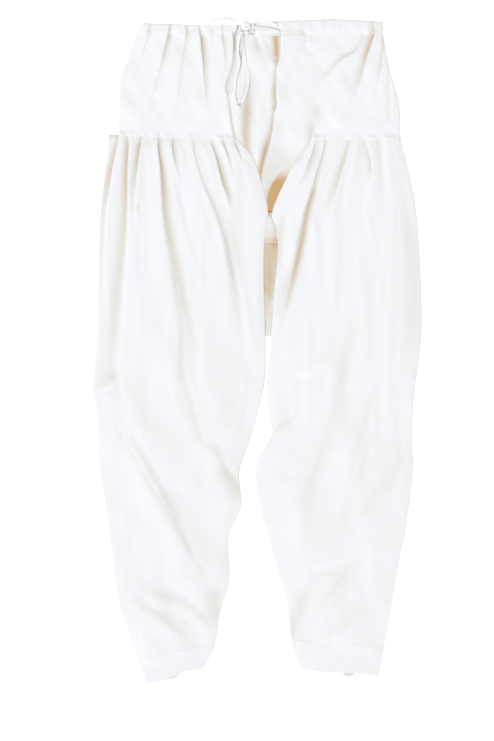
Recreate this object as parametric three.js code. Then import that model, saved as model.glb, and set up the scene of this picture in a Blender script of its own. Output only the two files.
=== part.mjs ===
// A patiala salwar laid flat, front up, with its waist towards +Y.
// Millimetres. X runs across, Y up the garment and Z off the surface that it lies on.
import * as THREE from 'three';

const wall = 2;
const backTop = wall;
const frontRest = 4.6; // two walls and the air between the front and back layers
const seamGap = 0.3;
const cordDiameter = 5;

const cotton = { color: 0xf7f3ea, roughness: 0.92, metalness: 0 };
const cottonShade = { color: 0xefe8da, roughness: 0.92, metalness: 0 };
const tape = { color: 0xfbfaf5, roughness: 0.8, metalness: 0 };

// Values between the rows of a table, on a smooth curve. Its rows go down the garment, so y falls.
function along(rows, y, column) {
  const last = rows.length - 1;
  if (y >= rows[0].y) return rows[0][column];
  if (y <= rows[last].y) return rows[last][column];
  let i = 0;
  while (rows[i + 1].y > y) i += 1;
  const slope = (k) => {
    const a = rows[Math.max(k - 1, 0)];
    const b = rows[Math.min(k + 1, last)];
    return (b[column] - a[column]) / (b.y - a.y);
  };
  const step = rows[i + 1].y - rows[i].y;
  const t = (y - rows[i].y) / step;
  const start = rows[i][column];
  const end = rows[i + 1][column];
  const square = t * t;
  const cube = square * t;
  return start * (2 * cube - 3 * square + 1) + end * (3 * square - 2 * cube)
    + step * slope(i) * (cube - 2 * square + t) + step * slope(i + 1) * (cube - square);
}

function mix(a, b, t) {
  return a + (b - a) * t;
}

function ease(t) {
  const c = Math.min(Math.max(t, 0), 1);
  return c * c * (3 - 2 * c);
}

// Straight steps through a pleat's values at the stations
function atStations(stations, values, y) {
  if (y >= stations[0]) return values[0];
  for (let i = 1; i < stations.length; i += 1) {
    if (y >= stations[i]) {
      return mix(values[i - 1], values[i], (stations[i - 1] - y) / (stations[i - 1] - stations[i]));
    }
  }
  return values[values.length - 1];
}

function quads(index, from, columns, rows, flip) {
  for (let r = 0; r < rows - 1; r += 1) {
    for (let c = 0; c < columns - 1; c += 1) {
      const a = from + r * columns + c;
      const b = a + columns;
      if (flip) index.push(a, a + 1, b, a + 1, b + 1, b);
      else index.push(a, b, a + 1, a + 1, b, b + 1);
    }
  }
}

function solidFrom(points, index) {
  const geometry = new THREE.BufferGeometry();
  geometry.setAttribute('position', new THREE.Float32BufferAttribute(points.flat(), 3));
  geometry.setIndex(index);
  geometry.computeVertexNormals();
  return geometry;
}

// A panel of cloth: rows of points on its face, and the same points on its back a wall lower
function clothSheet(face, back) {
  const rows = face.length;
  const columns = face[0].length;
  const count = rows * columns;
  const index = [];
  quads(index, 0, columns, rows, false);
  quads(index, count, columns, rows, true);
  const rim = [];
  for (let c = 0; c < columns - 1; c += 1) rim.push(c);
  for (let r = 0; r < rows - 1; r += 1) rim.push(r * columns + columns - 1);
  for (let c = columns - 1; c > 0; c -= 1) rim.push((rows - 1) * columns + c);
  for (let r = rows - 1; r > 0; r -= 1) rim.push(r * columns);
  rim.forEach((a, i) => {
    const b = rim[(i + 1) % rim.length];
    index.push(a, b, a + count, b, b + count, a + count);
  });
  return solidFrom([...face.flat(), ...back.flat()], index);
}

// A tube of cloth: rings of points on its outside, and the same points on its inside
function clothTube(outside, inside) {
  const rows = outside.length;
  const ring = outside[0].length;
  const count = rows * ring;
  const index = [];
  for (let r = 0; r < rows - 1; r += 1) {
    for (let c = 0; c < ring; c += 1) {
      const a = r * ring + c;
      const b = r * ring + ((c + 1) % ring);
      const innerA = count + a;
      const innerB = count + b;
      index.push(a, a + ring, b, b, a + ring, b + ring);
      index.push(innerA, innerB, innerA + ring, innerB, innerB + ring, innerA + ring);
    }
  }
  for (let c = 0; c < ring; c += 1) {
    const next = (c + 1) % ring;
    const low = (rows - 1) * ring;
    index.push(c, next, count + c, next, count + next, count + c);
    index.push(low + c, count + low + c, low + next, low + next, count + low + c, count + low + next);
  }
  return solidFrom([...outside.flat(), ...inside.flat()], index);
}

// Pleats and gathers: each has a crest that laps over its trough. across is 0 at the table's first edge
// and 1 at its second, at each station down the garment, and deep is the fall from crest to trough.
// steep is the way from trough to crest, and between is the number of columns before the pleat.
const troughShare = 0.45;
const crestShare = 1 - troughShare;

function pleatColumns(pleats, stations, y, width) {
  const columns = [{ across: 0, rise: 0 }];
  pleats.forEach((pleat) => {
    const trough = atStations(stations, pleat.across, y);
    const deep = atStations(stations, pleat.deep, y);
    const crest = trough + (pleat.crest * pleat.steep) / width;
    const pair = [
      { across: trough, rise: -troughShare * deep },
      { across: crest, rise: crestShare * deep },
    ];
    if (pleat.crest < 0) pair.reverse();
    const before = columns[columns.length - 1];
    for (let k = 1; k <= pleat.between; k += 1) {
      const t = k / (pleat.between + 1);
      const rise = mix(before.rise, pair[0].rise, ease(t));
      columns.push({ across: mix(before.across, pair[0].across, t), rise });
    }
    columns.push(...pair);
  });
  const before = columns[columns.length - 1];
  const tail = 3;
  for (let k = 1; k <= tail; k += 1) {
    const t = k / tail;
    columns.push({ across: mix(before.across, 1, t), rise: before.rise * (1 - ease(t)) });
  }
  return columns;
}

// Long single folds: a trough along points, its depth fading out at both ends
function foldRise(folds, x, y) {
  let rise = 0;
  folds.forEach((fold) => {
    let nearest = Infinity;
    let place = 0;
    const steps = fold.line.length - 1;
    for (let i = 0; i < steps; i += 1) {
      const [ax, ay] = fold.line[i];
      const [bx, by] = fold.line[i + 1];
      const length = (bx - ax) ** 2 + (by - ay) ** 2;
      const t = Math.min(Math.max(((x - ax) * (bx - ax) + (y - ay) * (by - ay)) / length, 0), 1);
      const distance = Math.hypot(x - mix(ax, bx, t), y - mix(ay, by, t));
      if (distance < nearest) {
        nearest = distance;
        place = (i + t) / steps;
      }
    }
    const fade = Math.sin(Math.PI * Math.min(Math.max(place, 0.08), 0.92));
    if (nearest < fold.wide) rise -= fold.deep * fade * (1 - ease(nearest / fold.wide));
    else if (nearest < 2 * fold.wide) {
      rise += 0.4 * fold.deep * fade * Math.sin((Math.PI * nearest) / fold.wide) ** 2;
    }
  });
  return rise;
}

// The ring of one flattened tube, from its left edge over the front to its right edge and back below
function flatRing(front, y, leftX, rightX) {
  const middle = 0.5 * frontRest;
  const lift = 0.9;
  const innerLift = 0.15;
  const inset = 1;
  const innerLeft = leftX + wall + 0.2;
  const innerRight = rightX - wall - 0.2;
  const outside = [];
  const inside = [];
  const put = (x, place, z, innerX, innerZ) => {
    outside.push([x, place, z]);
    inside.push([innerX, place, innerZ]);
  };
  put(leftX, y(0), middle - lift, leftX + wall, middle - innerLift);
  put(leftX, y(0), middle + lift, leftX + wall, middle + innerLift);
  front.forEach((point) => {
    const innerX = Math.min(Math.max(point.x, innerLeft), innerRight);
    put(point.x, y(point.part), point.z, innerX, point.z - wall);
  });
  put(rightX, y(1), middle + lift, rightX - wall, middle + innerLift);
  put(rightX, y(1), middle - lift, rightX - wall, middle - innerLift);
  const under = 4;
  for (let k = 0; k <= under; k += 1) {
    const part = 1 - k / under;
    const x = mix(leftX + inset, rightX - inset, part);
    put(x, y(part), 0, mix(innerLeft, innerRight, part), backTop);
  }
  return { outside, inside };
}

// Left leg: its edges from the belt to the hem, its pleats and its large folds
const pleatStations = [318, 250, 160, 50, -60];

const leftLeg = {
  side: -1,
  outerEdge: [
    { y: 325, x: -222 }, { y: 256, x: -230 }, { y: 202, x: -236 }, { y: 120, x: -238 }, { y: 43, x: -240 },
    { y: -20, x: -244 }, { y: -61, x: -249 }, { y: -80, x: -244 }, { y: -165, x: -238 }, { y: -220, x: -230 },
    { y: -303, x: -218 }, { y: -367, x: -211 }, { y: -433, x: -191 }, { y: -500, x: -167 },
  ],
  innerEdge: [
    { y: 315, x: -26 }, { y: 286, x: -4 }, { y: 252, x: 8 }, { y: 214, x: 18 }, { y: 178, x: 14 },
    { y: 136, x: 11 }, { y: 16, x: 14 }, { y: -51, x: 12 }, { y: -99, x: 1 }, { y: -154, x: -16 },
    { y: -172, x: -23 }, { y: -243, x: -25 }, { y: -267, x: -37 }, { y: -348, x: -41 }, { y: -403, x: -56 },
    { y: -438, x: -61 }, { y: -474, x: -76 },
  ],
  rows: [316, 308, 294, 274, 250, 220, 190, 160, 125, 90, 50, 10, -30, -50, -61, -74, -100, -127, -154, -172,
    -205, -243, -267, -300, -340, -375, -408, -440],
  topSlant: 9,
  lowSlant: -27,
  hem: [{ part: 0, y: -500 }, { part: 0.33, y: -495 }, { part: 0.6, y: -483 }, { part: 0.85, y: -480 },
    { part: 1, y: -474 }],
  pleats: [
    { across: [0.028, 0.016, 0.012, 0.010, 0.010], deep: [3, 2, 0, 0, 0], crest: 1, steep: 4, between: 0 },
    { across: [0.075, 0.045, 0.040, 0.040, 0.045], deep: [4, 4, 2, 1, 0], crest: 1, steep: 5, between: 0 },
    { across: [0.144, 0.137, 0.150, 0.130, 0.150], deep: [6, 7, 6, 4, 1], crest: 1, steep: 6, between: 1 },
    { across: [0.242, 0.205, 0.262, 0.280, 0.300], deep: [4, 5, 2, 1, 0], crest: 1, steep: 5, between: 1 },
    { across: [0.380, 0.372, 0.435, 0.515, 0.638], deep: [7, 8, 7, 5, 3], crest: -1, steep: 6, between: 3 },
    { across: [0.490, 0.485, 0.560, 0.620, 0.700], deep: [4, 4, 3, 1, 0], crest: -1, steep: 5, between: 1 },
    { across: [0.640, 0.630, 0.680, 0.765, 0.860], deep: [5, 5, 3, 2, 1], crest: -1, steep: 6, between: 2 },
    { across: [0.790, 0.765, 0.800, 0.860, 0.930], deep: [6, 7, 6, 5, 3], crest: -1, steep: 6, between: 1 },
    { across: [0.876, 0.845, 0.880, 0.925, 0.968], deep: [4, 4, 0, 0, 0], crest: -1, steep: 5, between: 0 },
  ],
  folds: [
    { line: [[-214, -99], [-172, -170], [-136, -239], [-113, -282], [-76, -333]], deep: 4, wide: 18 },
    { line: [[-89, -137], [-62, -146], [-28, -159]], deep: 4, wide: 14 },
    { line: [[-194, -372], [-166, -387], [-137, -405], [-98, -440]], deep: 3, wide: 13 },
    { line: [[-164, -378], [-125, -378], [-77, -408], [-65, -423]], deep: 3, wide: 13 },
    { line: [[-249, -62], [-221, -51], [-190, -44]], deep: 3, wide: 13 },
  ],
};

const rightLeg = {
  side: 1,
  outerEdge: [
    { y: 318, x: 217 }, { y: 273, x: 229 }, { y: 238, x: 237 }, { y: 196, x: 242 }, { y: 97, x: 248 },
    { y: 36, x: 249 }, { y: -12, x: 245 }, { y: -55, x: 239 }, { y: -144, x: 235 }, { y: -169, x: 236 },
    { y: -210, x: 233 }, { y: -249, x: 228 }, { y: -333, x: 212 }, { y: -409, x: 199 }, { y: -489, x: 184 },
  ],
  innerEdge: [
    { y: 318, x: 80 }, { y: 291, x: 65 }, { y: 257, x: 45 }, { y: 234, x: 35 }, { y: 206, x: 29 },
    { y: 162, x: 31 }, { y: 90, x: 26 }, { y: 13, x: 21 }, { y: -55, x: 15 }, { y: -90, x: 17 },
    { y: -127, x: 22 }, { y: -152, x: 8 }, { y: -172, x: -1 }, { y: -198, x: -2 }, { y: -249, x: 8 },
    { y: -309, x: 25 }, { y: -361, x: 40 }, { y: -414, x: 49 }, { y: -441, x: 52 }, { y: -477, x: 67 },
  ],
  rows: [318, 310, 296, 275, 250, 222, 200, 162, 125, 90, 50, 10, -30, -60, -90, -112, -127, -140, -155, -175,
    -200, -245, -275, -309, -345, -380, -410, -436],
  topSlant: 0,
  lowSlant: -9,
  hem: [{ part: 0, y: -489 }, { part: 0.18, y: -486 }, { part: 0.3, y: -483 }, { part: 0.75, y: -483 },
    { part: 1, y: -477 }],
  pleats: [
    { across: [0.100, 0.120, 0.160, 0.170, 0.180], deep: [2, 3, 2, 0, 0], crest: -1, steep: 5, between: 1 },
    { across: [0.240, 0.260, 0.330, 0.380, 0.400], deep: [3, 4, 2, 1, 0], crest: -1, steep: 6, between: 1 },
    { across: [0.370, 0.370, 0.480, 0.540, 0.560], deep: [4, 5, 3, 1, 0], crest: -1, steep: 5, between: 1 },
    { across: [0.540, 0.575, 0.700, 0.780, 0.800], deep: [5, 5, 3, 0, 0], crest: -1, steep: 5, between: 2 },
    { across: [0.816, 0.760, 0.820, 0.935, 0.955], deep: [5, 6, 8, 5, 0], crest: -1, steep: 6, between: 3 },
    { across: [0.930, 0.870, 0.900, 0.972, 0.985], deep: [3, 2, 0, 0, 0], crest: -1, steep: 3, between: 1 },
  ],
  folds: [
    { line: [[169, 120], [151, 77], [107, 33], [61, -17]], deep: 3, wide: 16 },
    { line: [[167, 54], [151, 0], [134, -60], [107, -144], [94, -188], [74, -240]], deep: 4, wide: 17 },
    { line: [[70, -86], [43, -107], [26, -123]], deep: 4, wide: 13 },
    { line: [[211, -90], [184, -128], [175, -161], [158, -231]], deep: 3.5, wide: 16 },
    { line: [[166, -314], [130, -366], [97, -414], [82, -434]], deep: 4, wide: 15 },
    { line: [[164, -312], [130, -326], [76, -342]], deep: 3, wide: 13 },
  ],
};

// How far the cloth stands off its back layer down the length of a leg
const puffRows = [{ y: 325, puff: 3 }, { y: 270, puff: 4.5 }, { y: 120, puff: 5 }, { y: -60, puff: 4.5 },
  { y: -300, puff: 4 }, { y: -440, puff: 2.5 }];
const pleatStart = 22;
const pleatAtSeam = 0.55;
const legPleatDepth = 1.25;
const topSlantLevel = 250; // a leg's rows slant with the belt seam above this
const topSlantReach = 66;
const lowSlantLevel = -340; // and with the cuff below this
const lowSlantReach = 100;
const edgeInset = 1.2;

// One level of a leg: the height of each point of its front, from edge to edge
function legLevel(leg, row) {
  const low = ease((lowSlantLevel - row) / lowSlantReach);
  const top = ease((row - topSlantLevel) / topSlantReach);
  const yAcross = (across) => row + (1 - across) * (leg.topSlant * top + leg.lowSlant * low);
  const outerX = along(leg.outerEdge, yAcross(0), 'x');
  const innerX = along(leg.innerEdge, yAcross(1), 'x');
  const width = Math.abs(innerX - outerX);
  const started = mix(pleatAtSeam, 1, ease((leg.rows[0] - row) / pleatStart));
  const fadeAtCuff = 1 - 0.8 * ease((-400 - row) / 40);
  const inset = edgeInset / width;
  const front = pleatColumns(leg.pleats, pleatStations, row, width).map((column) => {
    const across = mix(inset, 1 - inset, column.across);
    const x = mix(outerX, innerX, across);
    const y = yAcross(across);
    const puff = along(puffRows, row, 'puff') * (1 - Math.abs(2 * across - 1) ** 3);
    const rise = legPleatDepth * column.rise * started + foldRise(leg.folds, x, y) * fadeAtCuff;
    const edge = ease(Math.min(across, 1 - across) / 0.03);
    const z = Math.max(frontRest, frontRest + puff + rise * mix(0.3, 1, edge));
    return { x, z, across };
  });
  return { outerX, innerX, front, yAcross };
}

// A ring's points go from left to right, so the right leg's levels are turned round
function ringOf(leg, level) {
  const turned = leg.side > 0;
  const part = (across) => (turned ? 1 - across : across);
  const front = level.front.map((point) => ({ x: point.x, z: point.z, part: part(point.across) }));
  if (turned) front.reverse();
  const left = turned ? level.innerX : level.outerX;
  const right = turned ? level.outerX : level.innerX;
  return flatRing(front, (place) => level.yAcross(part(place)), left, right);
}

function tubeOf(leg, levels) {
  const rings = levels.map((level) => ringOf(leg, level));
  return clothTube(rings.map((ring) => ring.outside), rings.map((ring) => ring.inside));
}

function legSolid(leg) {
  return tubeOf(leg, leg.rows.map((row) => legLevel(leg, row)));
}

// Cuff: the stitched band below the leg, down to the hem
function hemAt(leg, across) {
  const rows = leg.hem;
  let i = 0;
  while (i < rows.length - 2 && rows[i + 1].part < across) i += 1;
  return mix(rows[i].y, rows[i + 1].y, (across - rows[i].part) / (rows[i + 1].part - rows[i].part));
}

function cuffSolid(leg) {
  const lastRow = leg.rows[leg.rows.length - 1];
  const levels = 6;
  const columns = 12;
  const waves = 2.5;
  const list = [];
  for (let k = 0; k < levels; k += 1) {
    const down = k / (levels - 1);
    const yAcross = (across) => mix(lastRow + (1 - across) * leg.lowSlant - seamGap, hemAt(leg, across), down);
    const outerX = along(leg.outerEdge, yAcross(0), 'x');
    const innerX = along(leg.innerEdge, yAcross(1), 'x');
    const inset = edgeInset / Math.abs(innerX - outerX);
    const front = [];
    for (let c = 0; c <= columns; c += 1) {
      const across = mix(inset, 1 - inset, c / columns);
      const belly = 1 - Math.abs(2 * across - 1) ** 3;
      const wave = 0.8 * down * Math.sin(2 * Math.PI * waves * across);
      front.push({ x: mix(outerX, innerX, across), z: frontRest + belly * (2.4 + wave), across });
    }
    list.push({ outerX, innerX, front, yAcross });
  }
  return tubeOf(leg, list);
}

// Belt: its sides, the line where the legs are sewn to it and the point that it has between them
const casingLine = 475;
const beltSides = [{ y: 496, left: -170, right: 190 }, { y: 477, left: -181, right: 191 },
  { y: 447, left: -191, right: 196 }, { y: 411, left: -205, right: 204 }, { y: 377, left: -208, right: 214 },
  { y: 325, left: -209, right: 217 }];
const beltStations = [478, 440, 400, 350, 300];
const beltPleats = [
  { across: [0.040, 0.060, 0.065, 0.065, 0.065], deep: [3, 1, 0, 0, 0], crest: 1, steep: 5, between: 1 },
  { across: [0.130, 0.132, 0.120, 0.120, 0.120], deep: [3, 3, 1, 0, 0], crest: 1, steep: 6, between: 1 },
  { across: [0.200, 0.205, 0.205, 0.205, 0.205], deep: [3, 1, 0, 0, 0], crest: 1, steep: 6, between: 1 },
  { across: [0.262, 0.300, 0.318, 0.325, 0.330], deep: [5, 5, 3, 1, 0], crest: -1, steep: 6, between: 1 },
  { across: [0.400, 0.402, 0.405, 0.402, 0.412], deep: [4, 4, 4, 5, 4], crest: -1, steep: 5, between: 2 },
  { across: [0.470, 0.470, 0.468, 0.466, 0.466], deep: [2, 2, 3, 4, 3], crest: -1, steep: 9, between: 1 },
  { across: [0.568, 0.568, 0.570, 0.553, 0.525], deep: [6, 5, 4, 5, 5], crest: 1, steep: 5, between: 2 },
  { across: [0.676, 0.670, 0.650, 0.640, 0.640], deep: [3, 1, 0, 0, 0], crest: -1, steep: 6, between: 1 },
  { across: [0.900, 0.820, 0.740, 0.720, 0.720], deep: [3, 3, 2, 1, 0], crest: 1, steep: 7, between: 2 },
  { across: [0.950, 0.905, 0.865, 0.860, 0.860], deep: [4, 4, 2, 0, 0], crest: -1, steep: 5, between: 1 },
];
const seamLeft = { outer: [-222, 325], inner: [-26, 316] };
const seamRight = 318;
const beltPoint = [
  { x: -25, y: 316 }, { x: -4, y: 291 }, { x: 8, y: 257 }, { x: 19, y: 216 }, { x: 24, y: 212 },
  { x: 30, y: 224 }, { x: 36, y: 240 }, { x: 45, y: 261 }, { x: 65, y: 295 }, { x: 78, y: 318.3 },
];
const beltOffset = 2.2;

function beltLow(x) {
  const [outerX, outerY] = seamLeft.outer;
  const [innerX, innerY] = seamLeft.inner;
  const seamY = mix(outerY, innerY, Math.min((x - outerX) / (innerX - outerX), 1)) + seamGap;
  if (x <= beltPoint[0].x) return seamY;
  const last = beltPoint[beltPoint.length - 1];
  if (x >= last.x) return seamRight + seamGap;
  let i = 0;
  while (beltPoint[i + 1].x < x) i += 1;
  const low = beltPoint[i];
  const next = beltPoint[i + 1];
  return mix(low.y, next.y, (x - low.x) / (next.x - low.x)) + beltOffset;
}

function beltX(part, y) {
  return mix(along(beltSides, y, 'left'), along(beltSides, y, 'right'), part);
}

// The belt's columns at one level: those of its gathers, and one for each corner of its point
const seamLevel = 322;

function beltColumns(y) {
  const width = along(beltSides, y, 'right') - along(beltSides, y, 'left');
  const columns = pleatColumns(beltPleats, beltStations, y, width);
  const seamStart = along(beltSides, seamLevel, 'left');
  const seamWidth = along(beltSides, seamLevel, 'right') - seamStart;
  beltPoint.forEach((corner) => {
    const across = (corner.x - seamStart) / seamWidth;
    let i = 1;
    while (columns[i].across < across) i += 1;
    const t = (across - columns[i - 1].across) / (columns[i].across - columns[i - 1].across);
    columns.splice(i, 0, { across, rise: mix(columns[i - 1].rise, columns[i].rise, t) });
  });
  return columns;
}

function beltHeight(part, rise) {
  const puff = 3.4 * (1 - Math.abs(2 * part - 1) ** 4);
  return Math.max(frontRest, frontRest + puff + rise * ease(Math.min(part, 1 - part) / 0.02 + 0.2));
}

function beltFace(x, y) {
  const left = along(beltSides, y, 'left');
  const right = along(beltSides, y, 'right');
  const part = (x - left) / (right - left);
  const columns = beltColumns(y);
  let i = 0;
  while (i < columns.length - 2 && columns[i + 1].across < part) i += 1;
  const t = (part - columns[i].across) / (columns[i + 1].across - columns[i].across);
  return beltHeight(part, mix(columns[i].rise, columns[i + 1].rise, t));
}

function beltPanel(rowCount, heightAt, thickness) {
  const face = [];
  const back = [];
  const top = casingLine - seamGap;
  for (let r = 0; r < rowCount; r += 1) {
    const down = r / (rowCount - 1);
    const level = mix(top, seamLevel, down);
    const columns = beltColumns(level);
    const faceRow = [];
    const backRow = [];
    columns.forEach((column) => {
      const lowX = beltX(column.across, seamLevel);
      const y = mix(top, beltLow(lowX), down);
      const x = beltX(column.across, Math.max(y, seamLevel));
      const z = heightAt(column);
      faceRow.push([x, y, z]);
      backRow.push([x, y, z - thickness]);
    });
    face.push(faceRow);
    back.push(backRow);
  }
  return clothSheet(face, back);
}

// Casing: the channel for the drawstring, a flattened tube along the waist with small gathers
const casingTop = [{ part: 0, y: 494 }, { part: 0.3, y: 490 }, { part: 0.4, y: 491 }, { part: 0.5, y: 496 },
  { part: 0.8, y: 500 }, { part: 1, y: 496 }];

function casingTopAt(part) {
  let i = 0;
  while (i < casingTop.length - 2 && casingTop[i + 1].part < part) i += 1;
  const low = casingTop[i];
  const next = casingTop[i + 1];
  return mix(low.y, next.y, (part - low.part) / (next.part - low.part));
}

const casingWall = 1.5;
const casingHigh = 8.4;
const casingSide = 476; // the casing is as wide below this as at it
const slit = { from: 0.4, to: 0.478 };

function casingSolid(fromPart, toPart, stations, gathers, gatherDeep) {
  const outside = [];
  const inside = [];
  for (let k = 0; k <= stations; k += 1) {
    const t = k / stations;
    const part = mix(fromPart, toPart, t);
    const wave = Math.sin(2 * Math.PI * gathers * t) * (0.7 + 0.3 * Math.sin(7 * t));
    const high = casingHigh + gatherDeep * wave;
    const low = casingLine + seamGap - 0.3 * wave;
    const top = casingTopAt(part) + 0.35 * wave;
    const base = backTop + seamGap;
    const point = (y, z) => [beltX(part, Math.max(y, casingSide)), y, z];
    const middle = 0.5 * (low + top);
    const centre = 0.5 * (base + high);
    const turn = 2.5;
    const shoulder = high - 0.7;
    const ring = [[low, centre], [low + turn, shoulder], [middle, high], [top - turn, shoulder],
      [top, centre], [top - turn, base], [middle, base], [low + turn, base]];
    outside.push(ring.map(([y, z]) => point(y, z)));
    inside.push(ring.map(([y, z]) => {
      const innerY = Math.min(Math.max(y, low + casingWall), top - casingWall);
      const innerZ = Math.min(Math.max(z, base + casingWall), z > centre ? z - casingWall : high);
      return point(innerY, innerZ);
    }));
  }
  return clothTube(outside, inside);
}

function casingBackSolid() {
  const face = [];
  const back = [];
  const stations = 12;
  [1, 0].forEach((up) => {
    const faceRow = [];
    const backRow = [];
    for (let k = 0; k <= stations; k += 1) {
      const part = k / stations;
      const y = up ? casingTopAt(part) - 1 : casingLine + seamGap;
      const x = beltX(part, Math.max(y, casingSide));
      faceRow.push([x, y, backTop]);
      backRow.push([x, y, 0]);
    }
    face.push(faceRow);
    back.push(backRow);
  });
  return clothSheet(face, back);
}

// Gusset: the cloth that shows between the legs, above and below its cross seam
const gussetTop = 208;
const crossSeam = 163;
const gussetLow = 14;

function gussetPanel(topY, lowY, rows, face, sag) {
  const columns = 6;
  const clearance = 0.6;
  const top = [];
  const back = [];
  for (let r = 0; r < rows; r += 1) {
    const down = r / (rows - 1);
    const y = mix(topY, lowY, down);
    const left = along(leftLeg.innerEdge, y, 'x') + clearance;
    const right = along(rightLeg.innerEdge, y, 'x') - clearance;
    const faceRow = [];
    const backRow = [];
    for (let c = 0; c <= columns; c += 1) {
      const part = c / columns;
      const z = face - sag * Math.sin(Math.PI * part) * Math.sin(Math.PI * Math.min(down + 0.15, 0.9));
      const x = mix(left, right, part);
      faceRow.push([x, y, z]);
      backRow.push([x, y, z - wall]);
    }
    top.push(faceRow);
    back.push(backRow);
  }
  return clothSheet(top, back);
}

// Drawstring: strands over the waist edge, the knot and the two ends that hang from it
const knotCentre = [-16, 488, 9.6];
const knotSize = [11, 8.5, 6.5];
const endKnotCentre = [-28, 366];
const endKnotSize = [4.5, 4.5, 3.5];
const radius = cordDiameter / 2;
const cordLift = radius + 0.45;

function overBelt([x, y]) {
  const reach = 3;
  const near = [-reach, 0, reach].map((step) => beltFace(x + step, Math.min(y, casingLine)));
  return [x, y, Math.max(...near) + cordLift];
}

const endFace = 11.6;
const drawstring = {
  cord_end_left: [[-22, 478.5, 12.4], [-25, 474, 12.6], ...[[-27, 466], [-28, 456], [-28, 446], [-26, 436],
    [-27, 426], [-30, 416], [-32, 406], [-32.5, 396], [-34, 387], [-33, 379], [-31, 372.4]].map(overBelt)],
  cord_end_right: [[-13, 479, 12.4], [-14, 475, 12.8], ...[[-16, 466], [-17, 455], [-16, 444], [-14, 433],
    [-13, 421], [-12.5, 410], [-13, 399], [-15, 389], [-18, 380], [-22, 372.5]].map(overBelt)],
  cord_strand_left: [[-84, 484, endFace], [-78, 489, 11.8], [-70, 494, 11.6], [-61, 497.5, 11.2],
    [-51, 498, 10.8], [-41, 496, 10.2], [-34, 493, 9.8], [-28.6, 490.5, 9.6]],
  cord_strand_upper: [[-3.6, 493.5, 10.9], [2, 495, 11.1], [9, 494, 11.1], [17, 493, 11.1], [24, 492, 11.1],
    [31, 490, 11.2]],
  cord_strand_lower: [[-3.8, 485, 11.2], [2, 484, 11.9], [10, 483.4, 11.9], [18, 482.2, 11.8],
    [26, 480.4, 11.5], [34, 477.6, 11.2]],
};

function cordSolid(points) {
  const path = new THREE.CatmullRomCurve3(points.map((point) => new THREE.Vector3(...point)));
  const sides = 8;
  const section = new THREE.Shape();
  for (let k = 0; k < sides; k += 1) {
    const turn = (2 * Math.PI * k) / sides;
    const x = radius * Math.cos(turn);
    const y = radius * Math.sin(turn);
    if (k === 0) section.moveTo(x, y);
    else section.lineTo(x, y);
  }
  const steps = Math.max(4, Math.round(path.getLength() / (2 * cordDiameter)));
  return new THREE.ExtrudeGeometry(section, { steps, bevelEnabled: false, extrudePath: path });
}

function knotSolid(centre, size) {
  const geometry = new THREE.SphereGeometry(1, 12, 8);
  geometry.scale(...size);
  geometry.translate(...centre);
  return geometry;
}

const garment = new THREE.Group();

function add(name, geometry, finish) {
  const mesh = new THREE.Mesh(geometry, new THREE.MeshStandardMaterial(finish));
  mesh.name = name;
  garment.add(mesh);
}

add('leg_left', legSolid(leftLeg), cotton);
add('leg_right', legSolid(rightLeg), cotton);
add('cuff_left', cuffSolid(leftLeg), cotton);
add('cuff_right', cuffSolid(rightLeg), cotton);
add('yoke_front', beltPanel(14, (column) => beltHeight(column.across, column.rise), wall), cotton);
add('yoke_back', beltPanel(4, () => backTop, wall), cotton);
add('casing_front_left', casingSolid(0, slit.from, 24, 6, 0.9), cotton);
add('casing_front_right', casingSolid(slit.to, 1, 26, 6, 0.5), cotton);
add('casing_back', casingBackSolid(), cotton);
add('gusset_upper', gussetPanel(gussetTop, crossSeam + seamGap / 2, 5, 6.6, 0.6), cottonShade);
add('gusset_lower', gussetPanel(crossSeam - seamGap / 2, gussetLow, 8, 4.2, 1.4), cottonShade);
add('knot_waist', knotSolid(knotCentre, knotSize), tape);
const endKnotZ = overBelt(endKnotCentre)[2];
add('knot_end', knotSolid([...endKnotCentre, endKnotZ], endKnotSize), tape);
Object.entries(drawstring).forEach(([name, points]) => {
  add(name, cordSolid(points), tape);
});

export default garment;
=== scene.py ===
import math

import bpy
import numpy as np
from mathutils import Matrix, Vector
from mathutils.bvhtree import BVHTree


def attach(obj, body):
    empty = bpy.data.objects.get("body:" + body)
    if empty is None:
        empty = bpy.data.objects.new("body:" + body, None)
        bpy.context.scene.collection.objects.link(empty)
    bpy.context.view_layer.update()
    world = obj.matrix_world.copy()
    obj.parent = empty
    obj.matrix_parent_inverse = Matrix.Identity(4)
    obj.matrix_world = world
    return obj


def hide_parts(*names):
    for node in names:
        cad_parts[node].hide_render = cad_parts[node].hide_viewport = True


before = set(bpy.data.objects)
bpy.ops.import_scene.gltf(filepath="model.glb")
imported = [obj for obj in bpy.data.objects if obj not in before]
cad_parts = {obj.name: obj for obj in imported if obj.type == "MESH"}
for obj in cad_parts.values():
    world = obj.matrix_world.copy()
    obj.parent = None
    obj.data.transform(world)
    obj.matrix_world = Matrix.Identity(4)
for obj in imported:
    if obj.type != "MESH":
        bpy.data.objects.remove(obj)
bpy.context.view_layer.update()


# The surface, the light and the camera. The garment lies on a plain white table and is seen from straight
# above its middle. Broad cool window light comes from below it to the left, a weak lamp stands to the upper
# left, and a warm fill comes from all round.
view_centre = (-0.01425, -0.02925)
view_height = 1.1115
lens = 85.0
film = 36.0
cloth_level = 0.008
table_width = 14.0

bpy.ops.object.select_all(action="DESELECT")
bpy.ops.mesh.primitive_plane_add(size=table_width, location=(0, 0, -0.0004))
table = bpy.context.object
table.name = "table_top"
bpy.ops.object.transform_apply(location=True)
table_paint = bpy.data.materials.new("table_paint")
table_paint.use_nodes = True
paint = table_paint.node_tree.nodes["Principled BSDF"]
paint.inputs["Base Color"].default_value = (0.6, 0.6, 0.6, 1)
paint.inputs["Roughness"].default_value = 0.9
paint.inputs["Emission Color"].default_value = (1, 1, 1, 1)
paint.inputs["Emission Strength"].default_value = 1.0
table.data.materials.append(table_paint)

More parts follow.
